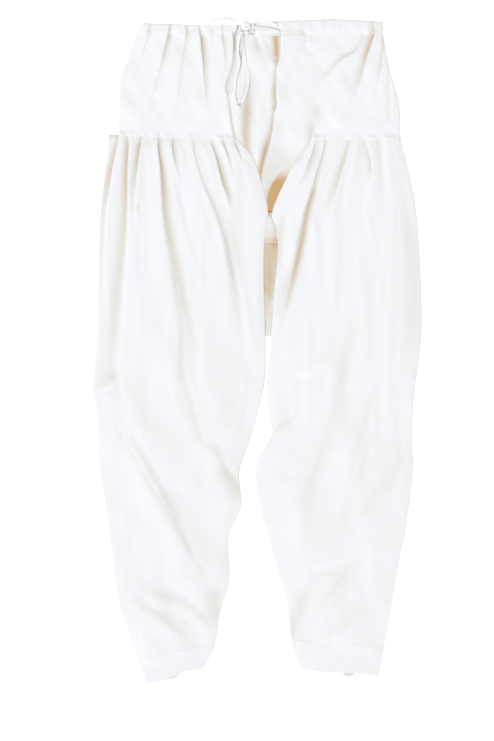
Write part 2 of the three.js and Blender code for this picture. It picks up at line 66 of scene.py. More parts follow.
camera_data = bpy.data.cameras.new("camera")
camera_data.lens = lens
camera_data.sensor_width = film
camera_data.sensor_fit = "AUTO"
camera = bpy.data.objects.new("camera", camera_data)
bpy.context.scene.collection.objects.link(camera)
camera.location = (*view_centre, cloth_level + lens / film * view_height)
bpy.context.scene.camera = camera


def lamp(name, kind, place, strength, colour):
    """A soft lamp that faces the middle of the table."""
    data = bpy.data.lights.new(name, kind)
    data.energy = strength
    data.color = colour
    light = bpy.data.objects.new(name, data)
    bpy.context.scene.collection.objects.link(light)
    light.location = place
    light.rotation_euler = (-Vector(place)).to_track_quat("-Z", "Y").to_euler()
    return data


window_light = lamp("window_light", "SUN", (-4.6, -8.0, 11.0), 2.0, (0.80, 0.875, 1.0))
window_light.angle = math.radians(28)
fill_lamp = lamp("fill_lamp", "AREA", (-1.0, 1.8, 2.2), 5.0, (0.86, 0.93, 1.0))
fill_lamp.size = 1.4
world = bpy.context.scene.world or bpy.data.worlds.new("world")
bpy.context.scene.world = world
world.use_nodes = True
world.node_tree.nodes["Background"].inputs["Color"].default_value = (1.0, 0.954, 0.90, 1)
world.node_tree.nodes["Background"].inputs["Strength"].default_value = 0.66
bpy.context.scene.view_settings.view_transform = "Standard"


# Drawstring: woven cotton tape, run through the casing and knotted at the slit. Two free ends hang from the
# knot and meet in a small knot, one strand comes over the waist edge from the left, and two go back over
# the casing to the right. Their routes are in metres.
tape_width = 0.0046
tape_thick = 0.0009
tape_colour = (0.93, 0.925, 0.91, 1)
end_left_route = [
    (-0.022, 0.4785, 0.0102), (-0.025, 0.474, 0.0104), (-0.027, 0.466, 0.00859), (-0.028, 0.456, 0.00857),
    (-0.028, 0.446, 0.00872), (-0.026, 0.436, 0.00932), (-0.027, 0.426, 0.00951), (-0.03, 0.416, 0.00927),
    (-0.032, 0.406, 0.00902), (-0.0325, 0.396, 0.00882), (-0.034, 0.387, 0.00834),
    (-0.033, 0.379, 0.00844), (-0.031, 0.3724, 0.00886),
]
end_right_route = [
    (-0.013, 0.479, 0.01), (-0.014, 0.475, 0.0104), (-0.016, 0.466, 0.00953), (-0.017, 0.455, 0.00955),
    (-0.016, 0.444, 0.00956), (-0.014, 0.433, 0.00903), (-0.013, 0.421, 0.00836),
    (-0.0125, 0.41, 0.00796), (-0.013, 0.399, 0.00823), (-0.015, 0.389, 0.00931), (-0.018, 0.38, 0.01021),
    (-0.022, 0.3725, 0.01019),
]
strand_left_route = [
    (-0.084, 0.4845, 0.0104), (-0.078, 0.4888, 0.0106), (-0.07, 0.4932, 0.0104), (-0.061, 0.4966, 0.0098),
    (-0.051, 0.4986, 0.0092), (-0.041, 0.4984, 0.009), (-0.034, 0.4962, 0.009), (-0.0286, 0.493, 0.009),
]
strand_upper_route = [
    (-0.0036, 0.4935, 0.0102), (0.002, 0.495, 0.0104), (0.009, 0.4945, 0.0104), (0.017, 0.4928, 0.0104),
    (0.024, 0.4905, 0.0104), (0.031, 0.4868, 0.0104),
]
strand_lower_route = [
    (-0.0038, 0.485, 0.0102), (0.002, 0.484, 0.0109), (0.01, 0.4834, 0.0109), (0.018, 0.4822, 0.0108),
    (0.026, 0.4804, 0.0105), (0.034, 0.4776, 0.0102),
]
knot_place = Vector((-0.016, 0.488, 0.0096))
end_knot_place = Vector((-0.028, 0.366, 0.0092))


def smooth_route(points, steps):
    """Points close together on a smooth curve through the given ones."""
    points = np.array(points, float)
    padded = np.vstack([2 * points[0] - points[1], points, 2 * points[-1] - points[-2]])
    out = []
    for i in range(len(points) - 1):
        a, b, c, d = padded[i:i + 4]
        for t in np.arange(steps) / steps:
            out.append(0.5 * (2 * b + (c - a) * t + (2 * a - 5 * b + 4 * c - d) * t ** 2
                              + (3 * b - a - 3 * c + d) * t ** 3))
    out.append(points[-1])
    return np.array(out)


def tape_finish():
    """Bleached cotton tape with its fine crosswise ribs."""
    finish = bpy.data.materials.new("cotton_tape")
    finish.use_nodes = True
    nodes = finish.node_tree.nodes
    links = finish.node_tree.links
    shader = nodes["Principled BSDF"]
    shader.inputs["Roughness"].default_value = 0.85
    shader.inputs["Sheen Weight"].default_value = 0.15
    where = nodes.new("ShaderNodeTexCoord")
    rib = nodes.new("ShaderNodeTexWave")
    rib.bands_direction = "Y"
    rib.inputs["Scale"].default_value = 330
    rib.inputs["Distortion"].default_value = 1.5
    mottle = nodes.new("ShaderNodeTexNoise")
    mottle.inputs["Scale"].default_value = 240
    shade = nodes.new("ShaderNodeMix")
    shade.data_type = "RGBA"
    shade.inputs[6].default_value = tape_colour
    shade.inputs[7].default_value = (0.8, 0.8, 0.795, 1)
    bump = nodes.new("ShaderNodeBump")
    bump.inputs["Strength"].default_value = 0.5
    bump.inputs["Distance"].default_value = 0.0002
    links.new(where.outputs["Object"], rib.inputs["Vector"])
    links.new(where.outputs["Object"], mottle.inputs["Vector"])
    links.new(mottle.outputs["Fac"], shade.inputs[0])
    links.new(shade.outputs[2], shader.inputs["Base Color"])
    links.new(rib.outputs["Fac"], bump.inputs["Height"])
    links.new(bump.outputs["Normal"], shader.inputs["Normal"])
    return finish


tape_material = tape_finish()


def new_piece(name, verts, faces):
    """A piece with these corners and faces, selected and active."""
    mesh = bpy.data.meshes.new(name)
    mesh.from_pydata(verts, [], faces)
    piece = bpy.data.objects.new(name, mesh)
    bpy.context.scene.collection.objects.link(piece)
    bpy.ops.object.select_all(action="DESELECT")
    piece.select_set(True)
    bpy.context.view_layer.objects.active = piece
    return piece


def sew_tape(name, route, turns):
    """A flat tape swept along its route. turns are the twists, in degrees, that it has along the way."""
    line = smooth_route(route, 8)
    count = len(line)
    twist = np.radians(np.interp(np.linspace(0, 1, count), np.linspace(0, 1, len(turns)), turns))
    around = 12
    angles = 2 * np.pi * np.arange(around) / around
    wide = np.sign(np.cos(angles)) * np.abs(np.cos(angles)) ** 0.6 * tape_width / 2
    high = np.sign(np.sin(angles)) * np.abs(np.sin(angles)) ** 0.8 * tape_thick / 2
    high = high + 0.0002 * np.cos(2 * angles)
    verts = []
    for i in range(count):
        ahead = Vector(line[min(i + 1, count - 1)] - line[max(i - 1, 0)]).normalized()
        side = ahead.cross(Vector((0, 0, 1))).normalized()
        up = side.cross(ahead).normalized()
        turn = Matrix.Rotation(twist[i], 3, ahead)
        side = turn @ side
        up = turn @ up
        for k in range(around):
            verts.append(Vector(line[i]) + side * wide[k] + up * high[k])
    faces = []
    for i in range(count - 1):
        for k in range(around):
            n = (k + 1) % around
            faces.append((i * around + k, i * around + n, (i + 1) * around + n, (i + 1) * around + k))
    faces.append(tuple(reversed(range(around))))
    faces.append(tuple((count - 1) * around + k for k in range(around)))
    piece = new_piece(name, verts, faces)
    bpy.ops.object.mode_set(mode="EDIT")
    bpy.ops.mesh.select_all(action="SELECT")
    bpy.ops.mesh.normals_make_consistent(inside=False)
    bpy.ops.object.mode_set(mode="OBJECT")
    bpy.ops.object.shade_smooth()
    piece.data.materials.append(tape_material)
    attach(piece, "root")
    return piece, line


def tie_knot(name, centre, loops, turn_radius, strand_radius, flatten):
    """A knot: a torus for each turn of the tape about the others, pulled tight and joined."""
    bpy.ops.object.select_all(action="DESELECT")
    made = []
    for lift, tilt, heading, size in loops:
        bpy.ops.mesh.primitive_torus_add(
            major_radius=turn_radius * size, minor_radius=strand_radius,
            major_segments=28, minor_segments=12,
            location=(centre.x, centre.y, centre.z + lift),
            rotation=(math.radians(tilt), 0, math.radians(heading)))
        made.append(bpy.context.object)
    for piece in made:
        piece.select_set(True)
    bpy.context.view_layer.objects.active = made[0]
    bpy.ops.object.join()
    knot = bpy.context.object
    knot.name = name
    bpy.ops.object.transform_apply(location=True, rotation=True, scale=True)
    for vertex in knot.data.vertices:
        vertex.co.z = centre.z + (vertex.co.z - centre.z) * flatten
    bpy.ops.object.shade_smooth()
    knot.data.materials.append(tape_material)
    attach(knot, "root")
    return knot


# Each turn of the tape: how far it is raised, its tilt and its heading in degrees, and its size
waist_loops = [(0.0, 14, 10, 0.9), (0.0002, 64, 75, 0.8), (0.0, 66, 15, 0.9), (-0.0004, 62, -45, 1.0)]
waist_knot = tie_knot("waist_knot", knot_place, waist_loops, 0.0052, 0.0024, 0.5)
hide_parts("knot_waist")
end_loops = [(0.0, 15, 0, 1.0), (0.0004, 80, 45, 0.9)]
end_knot = tie_knot("end_knot", end_knot_place, end_loops, 0.0021, 0.0015, 0.75)
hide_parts("knot_end")

# Each stretch of tape: its name, its solid, its route, its twists, its far end and how it lies
tape_runs = [
    ("tape_end_left", "cord_end_left", end_left_route, [0, 15, 40, 20, 5, 25, 0], "knot", "hanging"),
    ("tape_end_right", "cord_end_right", end_right_route, [0, -20, -45, -15, 5, -20, 0], "knot", "hanging"),
    ("tape_strand_left", "cord_strand_left", strand_left_route, [0, 20, 0, -25, 0], "object", "loose"),
    ("tape_strand_upper", "cord_strand_upper", strand_upper_route, [0, 25, 10, 0], "object", "taut"),
    ("tape_strand_lower", "cord_strand_lower", strand_lower_route, [0, -25, -10, 0], "object", "taut"),
]
for tape_name, solid, route, turns, far_end, lay in tape_runs:
    tape, line = sew_tape(tape_name, route, turns)
    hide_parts(solid)


# Legs: each is one wide piece of ivory cotton, folded at its outer side and seamed at its inner side. Its
# top is set in knife pleats and sewn to the belt, and the pleats open into long soft folds. Sizes from here
# on are in millimetres, up the garment and to its right.
mm = 0.001
cloth_thick = 0.55
layer_rest = 4.4
under_layer = 1.8
fold_level = 0.8
side_turn = 2.4
back_columns = 24
pleat_reach = 18
seam_tuck = 0.2
# The rows at a piece's edges lie close together, so that the light stays even up to the edge.
edge_row = 0.0006

left_leg = {
    "name": "left_leg",
    "outer": [(325, -222), (256, -230), (202, -236), (120, -238), (43, -240), (-20, -244), (-55, -248),
              (-61, -249), (-70, -245.5), (-80, -243.5), (-165, -238), (-220, -230), (-303, -218),
              (-367, -211), (-433, -191), (-500, -167)],
    "inner": [(315, -26), (304, -14), (286, -2), (262, 6), (242, 12), (222, 17), (202, 18.5), (178, 15),
              (160, 13), (136, 12), (16, 14), (-51, 12), (-99, 1), (-154, -16), (-172, -23), (-243, -25),
              (-267, -37), (-348, -41), (-403, -56), (-438, -61), (-474, -76)],
    "top": 317, "top_slant": 9, "low": -440, "low_slant": -27,
    "hem": [(0, -500), (0.33, -495), (0.6, -483), (0.85, -480), (1, -474)],
    "back_hem": (-127, 10, 5),
    "columns": 236,
    "pleats": [
        # The side on which a pleat's upper layer lies, then its stations down the leg: height, distance to
        # the right, depth, and how wide its trough is
        ("right", [(324, -216, 2.6, 4), (305, -222, 2.6, 4), (279, -226, 0, 4)]),
        ("right", [(322, -206, 3, 5), (308, -209, 4.2, 6), (283, -214, 4.4, 8), (254, -219, 4, 10),
            (211, -225, 2.6, 10), (166, -227, 2, 9), (76, -229, 1.6, 8), (20, -230, 0, 8)]),
        ("right", [(322, -192, 3.4, 5), (308, -191, 4.6, 7), (288, -192, 4.6, 8), (253, -193, 4.4, 9),
            (220, -193, 4.2, 10), (186, -194, 3.8, 11), (76, -201, 3, 12), (0, -206, 2.2, 14),
            (-40, -208, 1.4, 12), (-72, -206, 0, 10)]),
        ("right", [(324, -171, 3, 5), (310, -173, 4.8, 7), (279, -177, 4.2, 8), (237, -181, 2.4, 9),
            (190, -183, 1.2, 9), (150, -184, 0, 9)]),
        ("left", [(320, -147, 2.6, 6), (308, -148, 4, 7), (279, -145, 4.4, 8), (246, -142, 4.4, 9),
            (211, -140, 4, 10), (177, -135, 3.7, 10), (135, -127, 3.4, 10), (100, -120, 3.2, 9),
            (76, -116, 3, 9), (40, -108, 2.4, 9), (0, -98, 1.6, 9), (-40, -90, 0, 9)]),
        ("right", [(200, -134, 0, 12), (150, -124, 1.1, 10), (110, -117, 1.9, 8), (66, -111, 1.9, 7),
            (21, -100, 1.6, 8), (-21, -90, 1.2, 9), (-58, -76, 0.7, 8), (-80, -68, 0, 8)]),
        ("left", [(320, -126, 2.6, 6), (309, -127, 3.6, 8), (288, -124, 2.6, 8), (268, -118, 1, 7),
            (250, -112, 0, 7)]),
        ("left", [(275, -127, 0, 6), (255, -123, 0.9, 9), (211, -112, 1.1, 9), (169, -101, 1, 9),
            (135, -91, 0.8, 9), (100, -82, 0, 9)]),
        ("left", [(316, -96, 2, 6), (304, -95, 2, 9), (288, -91, 1.9, 13), (254, -81, 2, 16),
            (228, -69, 2.6, 17), (195, -56, 3.4, 18), (160, -46, 3.6, 17), (130, -40, 2.8, 15),
            (100, -32, 1.8, 14), (60, -22, 0, 12)]),
        ("right", [(240, -63, 0, 12), (195, -47, 1, 14), (174, -40, 1.7, 10), (144, -35, 2.2, 8),
            (118, -30, 2, 8), (76, -23, 1.7, 8), (21, -14, 1.4, 9), (-30, -5, 0.9, 9), (-55, -1, 0, 8)]),
        ("left", [(315, -67, 1.6, 4), (304, -65, 2.6, 6), (290, -61, 3.8, 8), (270, -56, 4.2, 8),
            (250, -50, 4, 8), (234, -44, 3, 7), (216, -38, 1, 6), (204, -34, 0, 6)]),
        ("left", [(313, -51, 3, 4), (297, -45, 3, 4), (275, -38, 1, 4), (262, -34, 0, 4)]),
        ("left", [(240, -88, 0, 5), (211, -79, 0.7, 6), (160, -64, 0.8, 6), (126, -55, 0.6, 6),
            (80, -44, 0, 6)]),
        ("left", [(320, -35, 2.4, 4), (305, -30, 2.6, 4), (293, -25, 1.8, 4), (284, -21, 0, 4)]),
    ],
    # Single creases: points, depth, or height where it is below nought, the widths of the gentle and the
    # steep side, and how much warm shade is painted along it. The steep side is on the left hand along the
    # points.
    "creases": [
        ([(-222, -80), (-194, -131), (-172, -168), (-144, -219), (-121, -265), (-103, -302), (-75, -336)],
         -2.1, 34, 6, 0),
        ([(-226, -84), (-190, -148), (-152, -212), (-114, -274), (-82, -326), (-52, -340)], 0.7, 4, 5, 0.12),
        ([(-121, 76), (-112, 30), (-110, -30), (-99, -70), (-84, -128), (-66, -152)], 1.0, 6, 5, 0.15),
        ([(-110, -240), (-130, -190), (-148, -140), (-160, -90), (-170, -40)], 0.9, 22, 16, 0),
        ([(-126, 40), (-116, -12), (-101, -76), (-89, -140)], 1.1, 12, 22, 0.06),
        ([(-91, -140), (-65, -150), (-50, -181), (-25, -209)], -1.5, 15, 5, 0.06),
        ([(-62, -160), (-42, -186), (-27, -208), (-24, -232)], 1.3, 15, 7, 0.36),
        ([(-20, -225), (-34, -240), (-44, -256)], 1.2, 6, 9, 0.1),
        ([(-199, -366), (-167, -388), (-135, -408), (-103, -440)], -1.7, 12, 5, 0.07),
        ([(-171, -362), (-135, -372), (-104, -384), (-80, -408), (-66, -433)], -1.8, 12, 5, 0.08),
        ([(-150, -388), (-118, -398), (-92, -420)], 0.6, 5, 4, 0.08),
        ([(-66, -346), (-62, -380), (-62, -418)], 1.2, 16, 12, 0.26),
        ([(-187, -322), (-192, -345), (-199, -362)], 1.0, 7, 5, 0.06),
        ([(-206, -34), (-222, -48), (-249, -60)], -2.0, 12, 4, 0.2),
        ([(-208, -39), (-203, -77)], 0.8, 6, 5, 0.05),
        ([(-176, 226), (-175, 205)], 0.9, 4, 4, 0.1),
        ([(-180, 110), (-172, 20), (-160, -60), (-150, -110)], 0.7, 18, 16, 0),
        ([(-62, 40), (-52, -20), (-50, -80)], -0.9, 16, 14, 0),
        ([(-104, 120), (-84, 50), (-74, -20), (-70, -90)], -0.8, 16, 14, 0),
        ([(-38, -60), (-44, -120)], 0.8, 12, 8, 0.05),
        ([(-90, -270), (-98, -320), (-96, -352)], 0.8, 18, 14, 0.03),
        ([(-168, -420), (-150, -430), (-128, -428)], 0.9, 9, 6, 0.04),
        ([(-175, -250), (-165, -300), (-150, -345)], -0.7, 16, 14, 0),
    ],
}
right_leg = {
    "name": "right_leg",
    "outer": [(318, 217), (273, 229), (238, 237), (196, 242), (97, 248), (36, 249), (-12, 245), (-55, 239),
              (-144, 235), (-169, 236), (-210, 233), (-249, 228), (-333, 212), (-409, 199), (-489, 184)],
    "inner": [(318, 82), (291, 66), (273, 51), (257, 43), (234, 32), (213, 24), (203, 22), (190, 27),
              (162, 31), (90, 26), (13, 21), (-55, 15), (-90, 17), (-112, 21), (-127, 22), (-137, 16),
              (-152, 8), (-172, -1), (-198, -2), (-249, 8), (-309, 25), (-361, 40), (-414, 49), (-441, 52),
              (-477, 67)],
    "top": 319, "top_slant": 0, "low": -436, "low_slant": -9,
    "hem": [(0, -489), (0.18, -486), (0.3, -483), (0.75, -483), (1, -477)],
    "back_hem": (138, 8, 6),
    "columns": 236,
    "pleats": [
        ("left", [(318, 89, 2.2, 6), (300, 84, 3, 8), (284, 78, 3.2, 9), (266, 71, 2.6, 9),
            (250, 63, 1.4, 8), (236, 57, 0, 6)]),
        ("left", [(320, 103, 2, 4), (306, 101, 2.8, 4), (279, 93, 3, 4.5), (249, 85, 3.6, 5),
            (236, 81, 5, 7), (207, 72, 5.8, 8), (177, 66, 6, 8), (147, 59, 5.4, 8), (121, 52, 4.6, 8),
            (92, 45, 3.7, 7), (76, 41, 3, 6), (60, 37, 2.2, 5), (30, 30, 1.4, 5), (0, 24, 0, 5)]),
        ("right", [(150, 60, 0, 10), (121, 55, 1.8, 12), (96, 49, 2.2, 12), (62, 39, 1.6, 11),
            (35, 30, 0.8, 9), (10, 24, 0, 8)]),
        ("right", [(320, 142, 2.4, 5), (307, 139, 3, 6), (290, 135, 3.4, 7), (268, 128, 3.6, 8),
            (249, 123, 3, 9), (222, 113, 2, 11), (190, 103, 1.4, 13), (150, 90, 0, 14)]),
        ("right", [(316, 165, 2, 4), (309, 167, 2.6, 5), (286, 173, 3.1, 6), (270, 174, 2.4, 6),
            (247, 168, 0.8, 7), (230, 164, 0, 7)]),
        ("left", [(260, 196, 0, 6), (235, 198, 0.8, 12), (189, 198, 0.9, 14), (76, 190, 1, 15),
            (-43, 178, 1.1, 15), (-110, 166, 0, 14)]),
        ("left", [(225, 208, 0, 2), (208, 208, 0.6, 3), (182, 208, 0.6, 3), (172, 208, 0, 2)]),
        ("left", [(150, 214, 0, 10), (60, 216, 0.7, 12), (-40, 206, 0.8, 12), (-120, 190, 0, 12)]),
    ],
    "creases": [
        ([(157, 255), (158, 211), (151, 174), (133, 121)], 0.9, 15, 12, 0),
        ([(178, 192), (172, 156), (160, 118)], 0.6, 7, 5, 0),
        ([(118, 92), (95, 45), (72, 8), (52, -22)], -1.2, 16, 8, 0),
        ([(150, 84), (124, 42), (98, 8), (78, -18)], -0.8, 12, 8, 0),
        ([(46, -42), (82, -40), (112, -22)], 1.1, 26, 6, 0.02),
        ([(164, 92), (142, 18), (125, -60), (102, -150), (83, -206), (74, -302)], 1.8, 9, 12, 0.13),
        ([(200, 20), (180, -60), (160, -130), (140, -190)], -1.1, 22, 14, 0),
        ([(192, -20), (168, -90), (146, -170), (126, -246)], 0.6, 6, 6, 0.1),
        ([(226, -146), (192, -192), (158, -244), (128, -292)], 1.2, 5, 4, 0.08),
        ([(70, -86), (43, -107), (26, -120), (10, -148)], 1.6, 9, 4, 0.14),
        ([(127, -288), (142, -228), (164, -173), (180, -112)], 2.0, 20, 7, 0.06),
        ([(229, -140), (211, -178), (196, -214)], 1.3, 9, 6, 0.14),
        ([(158, -316), (136, -345), (115, -372), (78, -432)], -2.3, 17, 4, 0.03),
        ([(152, -306), (128, -340), (106, -370), (68, -430)], 0.9, 5, 4, 0.13),
        ([(72, -336), (96, -329), (120, -324), (152, -311)], 1.7, 12, 5, 0.05),
        ([(80, -350), (66, -390), (56, -436)], 1.2, 12, 9, 0.2),
        ([(60, -390), (54, -432)], 1.4, 9, 6, 0.3),
        ([(150, -400), (128, -420), (106, -432), (84, -434)], -1.4, 12, 4, 0.08),
        ([(35, -182), (59, -188)], 0.7, 6, 4, 0),
        ([(188, -388), (165, -391)], 0.7, 8, 5, 0),
        ([(100, -40), (92, -100), (78, -150)], 0.8, 16, 13, 0),
        ([(46, -210), (42, -250), (48, -300)], 1.0, 18, 12, 0),
        ([(44, 212), (37, 190), (34, 168), (32, 140), (28, 100)], 0.5, 7, 6, 0.36),
        ([(230, 240), (240, 150), (244, 60), (240, -20)], 0.3, 24, 24, 0.15),
        ([(190, -230), (176, -300), (166, -360)], -0.8, 18, 16, 0),
    ],
}
# How high the legs' upper layers swell between their sides: height up the garment, and rise
puff_rows = [(325, 1.5), (290, 3.4), (120, 4.4), (-60, 4.2), (-300, 3.6), (-440, 2.2)]


def ease(t):
    """From 0 to 1 with a soft start and end."""
    t = np.clip(t, 0, 1)
    return t * t * (3 - 2 * t)


def along(rows, level):
    """Smooth values between a table's rows, which go down the garment."""
    place = np.array([row[0] for row in rows][::-1], float)
    value = np.array([row[1] for row in rows][::-1], float)
    slope = np.gradient(value, place)
    level = np.clip(level, place[0], place[-1])
    i = np.clip(np.searchsorted(place, level) - 1, 0, len(place) - 2)
    step = place[i + 1] - place[i]
    t = (level - place[i]) / step
    return (value[i] * (2 * t ** 3 - 3 * t ** 2 + 1) + value[i + 1] * (3 * t ** 2 - 2 * t ** 3)
            + step * slope[i] * (t ** 3 - 2 * t ** 2 + t) + step * slope[i + 1] * (t ** 3 - t ** 2))


def pleat_cloth(pleats, x, y, steep_at):
    """How far pleats lift the cloth, how far their upper layers hang over their troughs, and the shade
    painted in the troughs.
    """
    rise = np.zeros_like(x)
    shift = np.zeros_like(x)
    fold_shade = np.zeros_like(x)
    for upper, rows in pleats:
        toward = 1 if upper == "right" else -1
        heights = [-row[0] for row in rows]
        deep = np.interp(-y, heights, [row[2] for row in rows], left=rows[0][2], right=0)
        wide = np.interp(-y, heights, [row[3] for row in rows])
        steep = steep_at(y)
        ahead = (x - along(rows, y)) * toward + 0.5 * steep
        behind = -0.55 * np.exp(-(np.clip(-ahead, 0, None) / wide) ** 2)
        climb = -0.55 + ease(ahead / steep)
        beyond = 0.45 * np.exp(-(np.clip(ahead - steep, 0, None) / pleat_reach) ** 1.5)
        rise += deep * np.where(ahead < 0, behind, np.where(ahead < steep, climb, beyond))
        lean = np.exp(-((ahead - steep) / (0.8 * steep)) ** 2)
        shift -= toward * 0.3 * steep * np.clip(deep / 3, 0, 1) * lean
        # Painted shade in each trough, stronger where the pleat is deep and narrow
        dark = np.clip(0.24 * (deep - 1.2), 0, 0.84) * np.clip(9 / wide, 0.4, 1)
        band = np.exp(-(np.clip(-ahead, 0, None) / (0.8 * wide)) ** 2) * (1 - ease(ahead / (0.7 * steep)))
        fold_shade = np.maximum(fold_shade, dark * band)
    return rise, shift, fold_shade


def crease_cloth(creases, x, y):
    """How far single creases lower or raise the cloth, and the warm shade painted along them, widest on
    their gentle side.
    """
    rise = np.zeros_like(x)
    fold_shade = np.zeros_like(x)
    for points, deep, soft, steep, warm_shade in creases:
        line = smooth_route(points, 6)
        reach = max(3.2 * soft, 4.4 * steep)
        near = ((x > line[:, 0].min() - reach) & (x < line[:, 0].max() + reach)
                & (y > line[:, 1].min() - reach) & (y < line[:, 1].max() + reach))
        if not near.any():
            continue
        px = x[near]
        py = y[near]
        best = np.full(px.shape, 1e9)
        side = np.zeros(px.shape)
        place = np.zeros(px.shape)
        for i in range(len(line) - 1):
            a = line[i]
            run = line[i + 1] - a
            length = float(run @ run)
            t = np.clip(((px - a[0]) * run[0] + (py - a[1]) * run[1]) / length, 0, 1)
            dx = px - a[0] - t * run[0]
            dy = py - a[1] - t * run[1]
            distance = np.hypot(dx, dy)
            closer = distance < best
            best = np.where(closer, distance, best)
            side = np.where(closer, np.sign(run[0] * dy - run[1] * dx), side)
            place = np.where(closer, (i + t) / (len(line) - 1), place)
        fade = ease(place / 0.35 + 0.1) * ease((1 - place) / 0.35 + 0.05)
        signed = best * np.where(side == 0, 1, side)
        gentle = np.exp(-(signed / soft) ** 2)
        sharp = np.exp(-(signed / steep) ** 2)
        ridge = 0.3 * np.exp(-((signed - 2.0 * steep) / (1.1 * steep)) ** 2)
        rise[near] += deep * fade * (np.where(signed > 0, -sharp, -gentle) + np.where(signed > 0, ridge, 0))
        fold_shade[near] = np.maximum(fold_shade[near], warm_shade * fade * np.where(signed > 0, sharp, gentle))
    return rise, fold_shade


def rumple(x, y, seed, longest, height, spread=0.5):
    """A low uneven ripple from many waves that run mostly down the garment."""
    draw = np.random.default_rng(seed)
    total = np.zeros_like(x)
    waves = 26
    for _ in range(waves):
        length = longest * draw.uniform(0.2, 1.0)
        heading = draw.normal(0, spread)
        phase = draw.uniform(0, 2 * np.pi)
        total += np.sin(2 * np.pi * (x * np.cos(heading) + y * np.sin(heading)) / length + phase) * length
    return height * total / (longest * 0.6 * math.sqrt(waves / 2))


def soften(z, across_steps, down_steps):
    """A blurred copy of a grid of heights."""
    out = z
    for axis, steps in ((1, across_steps), (0, down_steps)):
        span = np.arange(-2 * steps, 2 * steps + 1)
        weight = np.exp(-(span / steps) ** 2)
        weight /= weight.sum()
        pad = [(0, 0), (0, 0)]
        pad[axis] = (2 * steps, 2 * steps)
        wide = np.pad(out, pad, mode="edge")
        out = np.apply_along_axis(lambda run: np.convolve(run, weight, "valid"), axis, wide)
    return out


def cotton_finish(name):
    """Fine plain-weave cotton, matt, a little uneven in colour, with warm shade painted into its colour down
    in its creases.
    """
    finish = bpy.data.materials.new(name)
    finish.use_nodes = True
    nodes = finish.node_tree.nodes
    links = finish.node_tree.links
    shader = nodes["Principled BSDF"]
    shader.inputs["Roughness"].default_value = 0.9
    shader.inputs["Sheen Weight"].default_value = 0.05
    shader.inputs["Specular IOR Level"].default_value = 0.2
    where = nodes.new("ShaderNodeTexCoord")
    threads_at = nodes.new("ShaderNodeUVMap")
    threads_at.uv_map = "threads"
    patch = nodes.new("ShaderNodeTexNoise")
    patch.inputs["Scale"].default_value = 16
    patch.inputs["Detail"].default_value = 4
    links.new(where.outputs["Object"], patch.inputs["Vector"])
    # Painted shade: a per-point mark on the cloth turns its colour warmer and darker in its creases and
    # troughs.
    painted_shade = nodes.new("ShaderNodeAttribute")
    painted_shade.attribute_name = "painted_shade"
    warm_shade = nodes.new("ShaderNodeValToRGB")
    warm_shade.color_ramp.elements[0].color = (0.840, 0.838, 0.838, 1)
    warm_shade.color_ramp.elements[1].color = (0.585, 0.365, 0.165, 1)
    for share, colour in ((0.25, (0.768, 0.757, 0.72, 1)), (0.5, (0.71, 0.672, 0.59, 1)),
                          (0.75, (0.645, 0.56, 0.435, 1))):
        warm_shade.color_ramp.elements.new(share).color = colour
    links.new(painted_shade.outputs["Fac"], warm_shade.inputs["Fac"])
    tint = nodes.new("ShaderNodeMix")
    tint.data_type = "RGBA"
    tint.blend_type = "MULTIPLY"
    tint.inputs[0].default_value = 1
    faint = nodes.new("ShaderNodeMapRange")
    faint.inputs["To Min"].default_value = 0.985
    faint.inputs["To Max"].default_value = 1.01
    links.new(patch.outputs["Fac"], faint.inputs["Value"])
    links.new(warm_shade.outputs["Color"], tint.inputs[6])
    links.new(faint.outputs["Result"], tint.inputs[7])
    links.new(tint.outputs[2], shader.inputs["Base Color"])
    height = None
    for scale in ((1500, 110, 1), (110, 1500, 1)):
        stretch = nodes.new("ShaderNodeMapping")
        stretch.inputs["Scale"].default_value = scale
        thread = nodes.new("ShaderNodeTexNoise")
        thread.inputs["Scale"].default_value = 1
        thread.inputs["Detail"].default_value = 1
        links.new(threads_at.outputs["UV"], stretch.inputs["Vector"])
        links.new(stretch.outputs["Vector"], thread.inputs["Vector"])
        if height is None:
            height = thread
        else:
            both = nodes.new("ShaderNodeMath")
            both.operation = "ADD"
            links.new(height.outputs["Fac"], both.inputs[0])
            links.new(thread.outputs["Fac"], both.inputs[1])
            height = both
    weave_bump = nodes.new("ShaderNodeBump")
    weave_bump.inputs["Strength"].default_value = 0.3
    weave_bump.inputs["Distance"].default_value = 0.0001
    links.new(height.outputs[0], weave_bump.inputs["Height"])
    crumple = nodes.new("ShaderNodeTexNoise")
    crumple.inputs["Scale"].default_value = 40
    crumple.inputs["Detail"].default_value = 4
    crumple.inputs["Roughness"].default_value = 0.5
    crumple.inputs["Distortion"].default_value = 0.5
    links.new(where.outputs["Object"], crumple.inputs["Vector"])
    crumple_bump = nodes.new("ShaderNodeBump")
    crumple_bump.inputs["Strength"].default_value = 0.25
    crumple_bump.inputs["Distance"].default_value = 0.0009
    links.new(crumple.outputs["Fac"], crumple_bump.inputs["Height"])
    links.new(weave_bump.outputs["Normal"], crumple_bump.inputs["Normal"])
    links.new(crumple_bump.outputs["Normal"], shader.inputs["Normal"])
    return finish


ivory = cotton_finish("ivory_cotton")


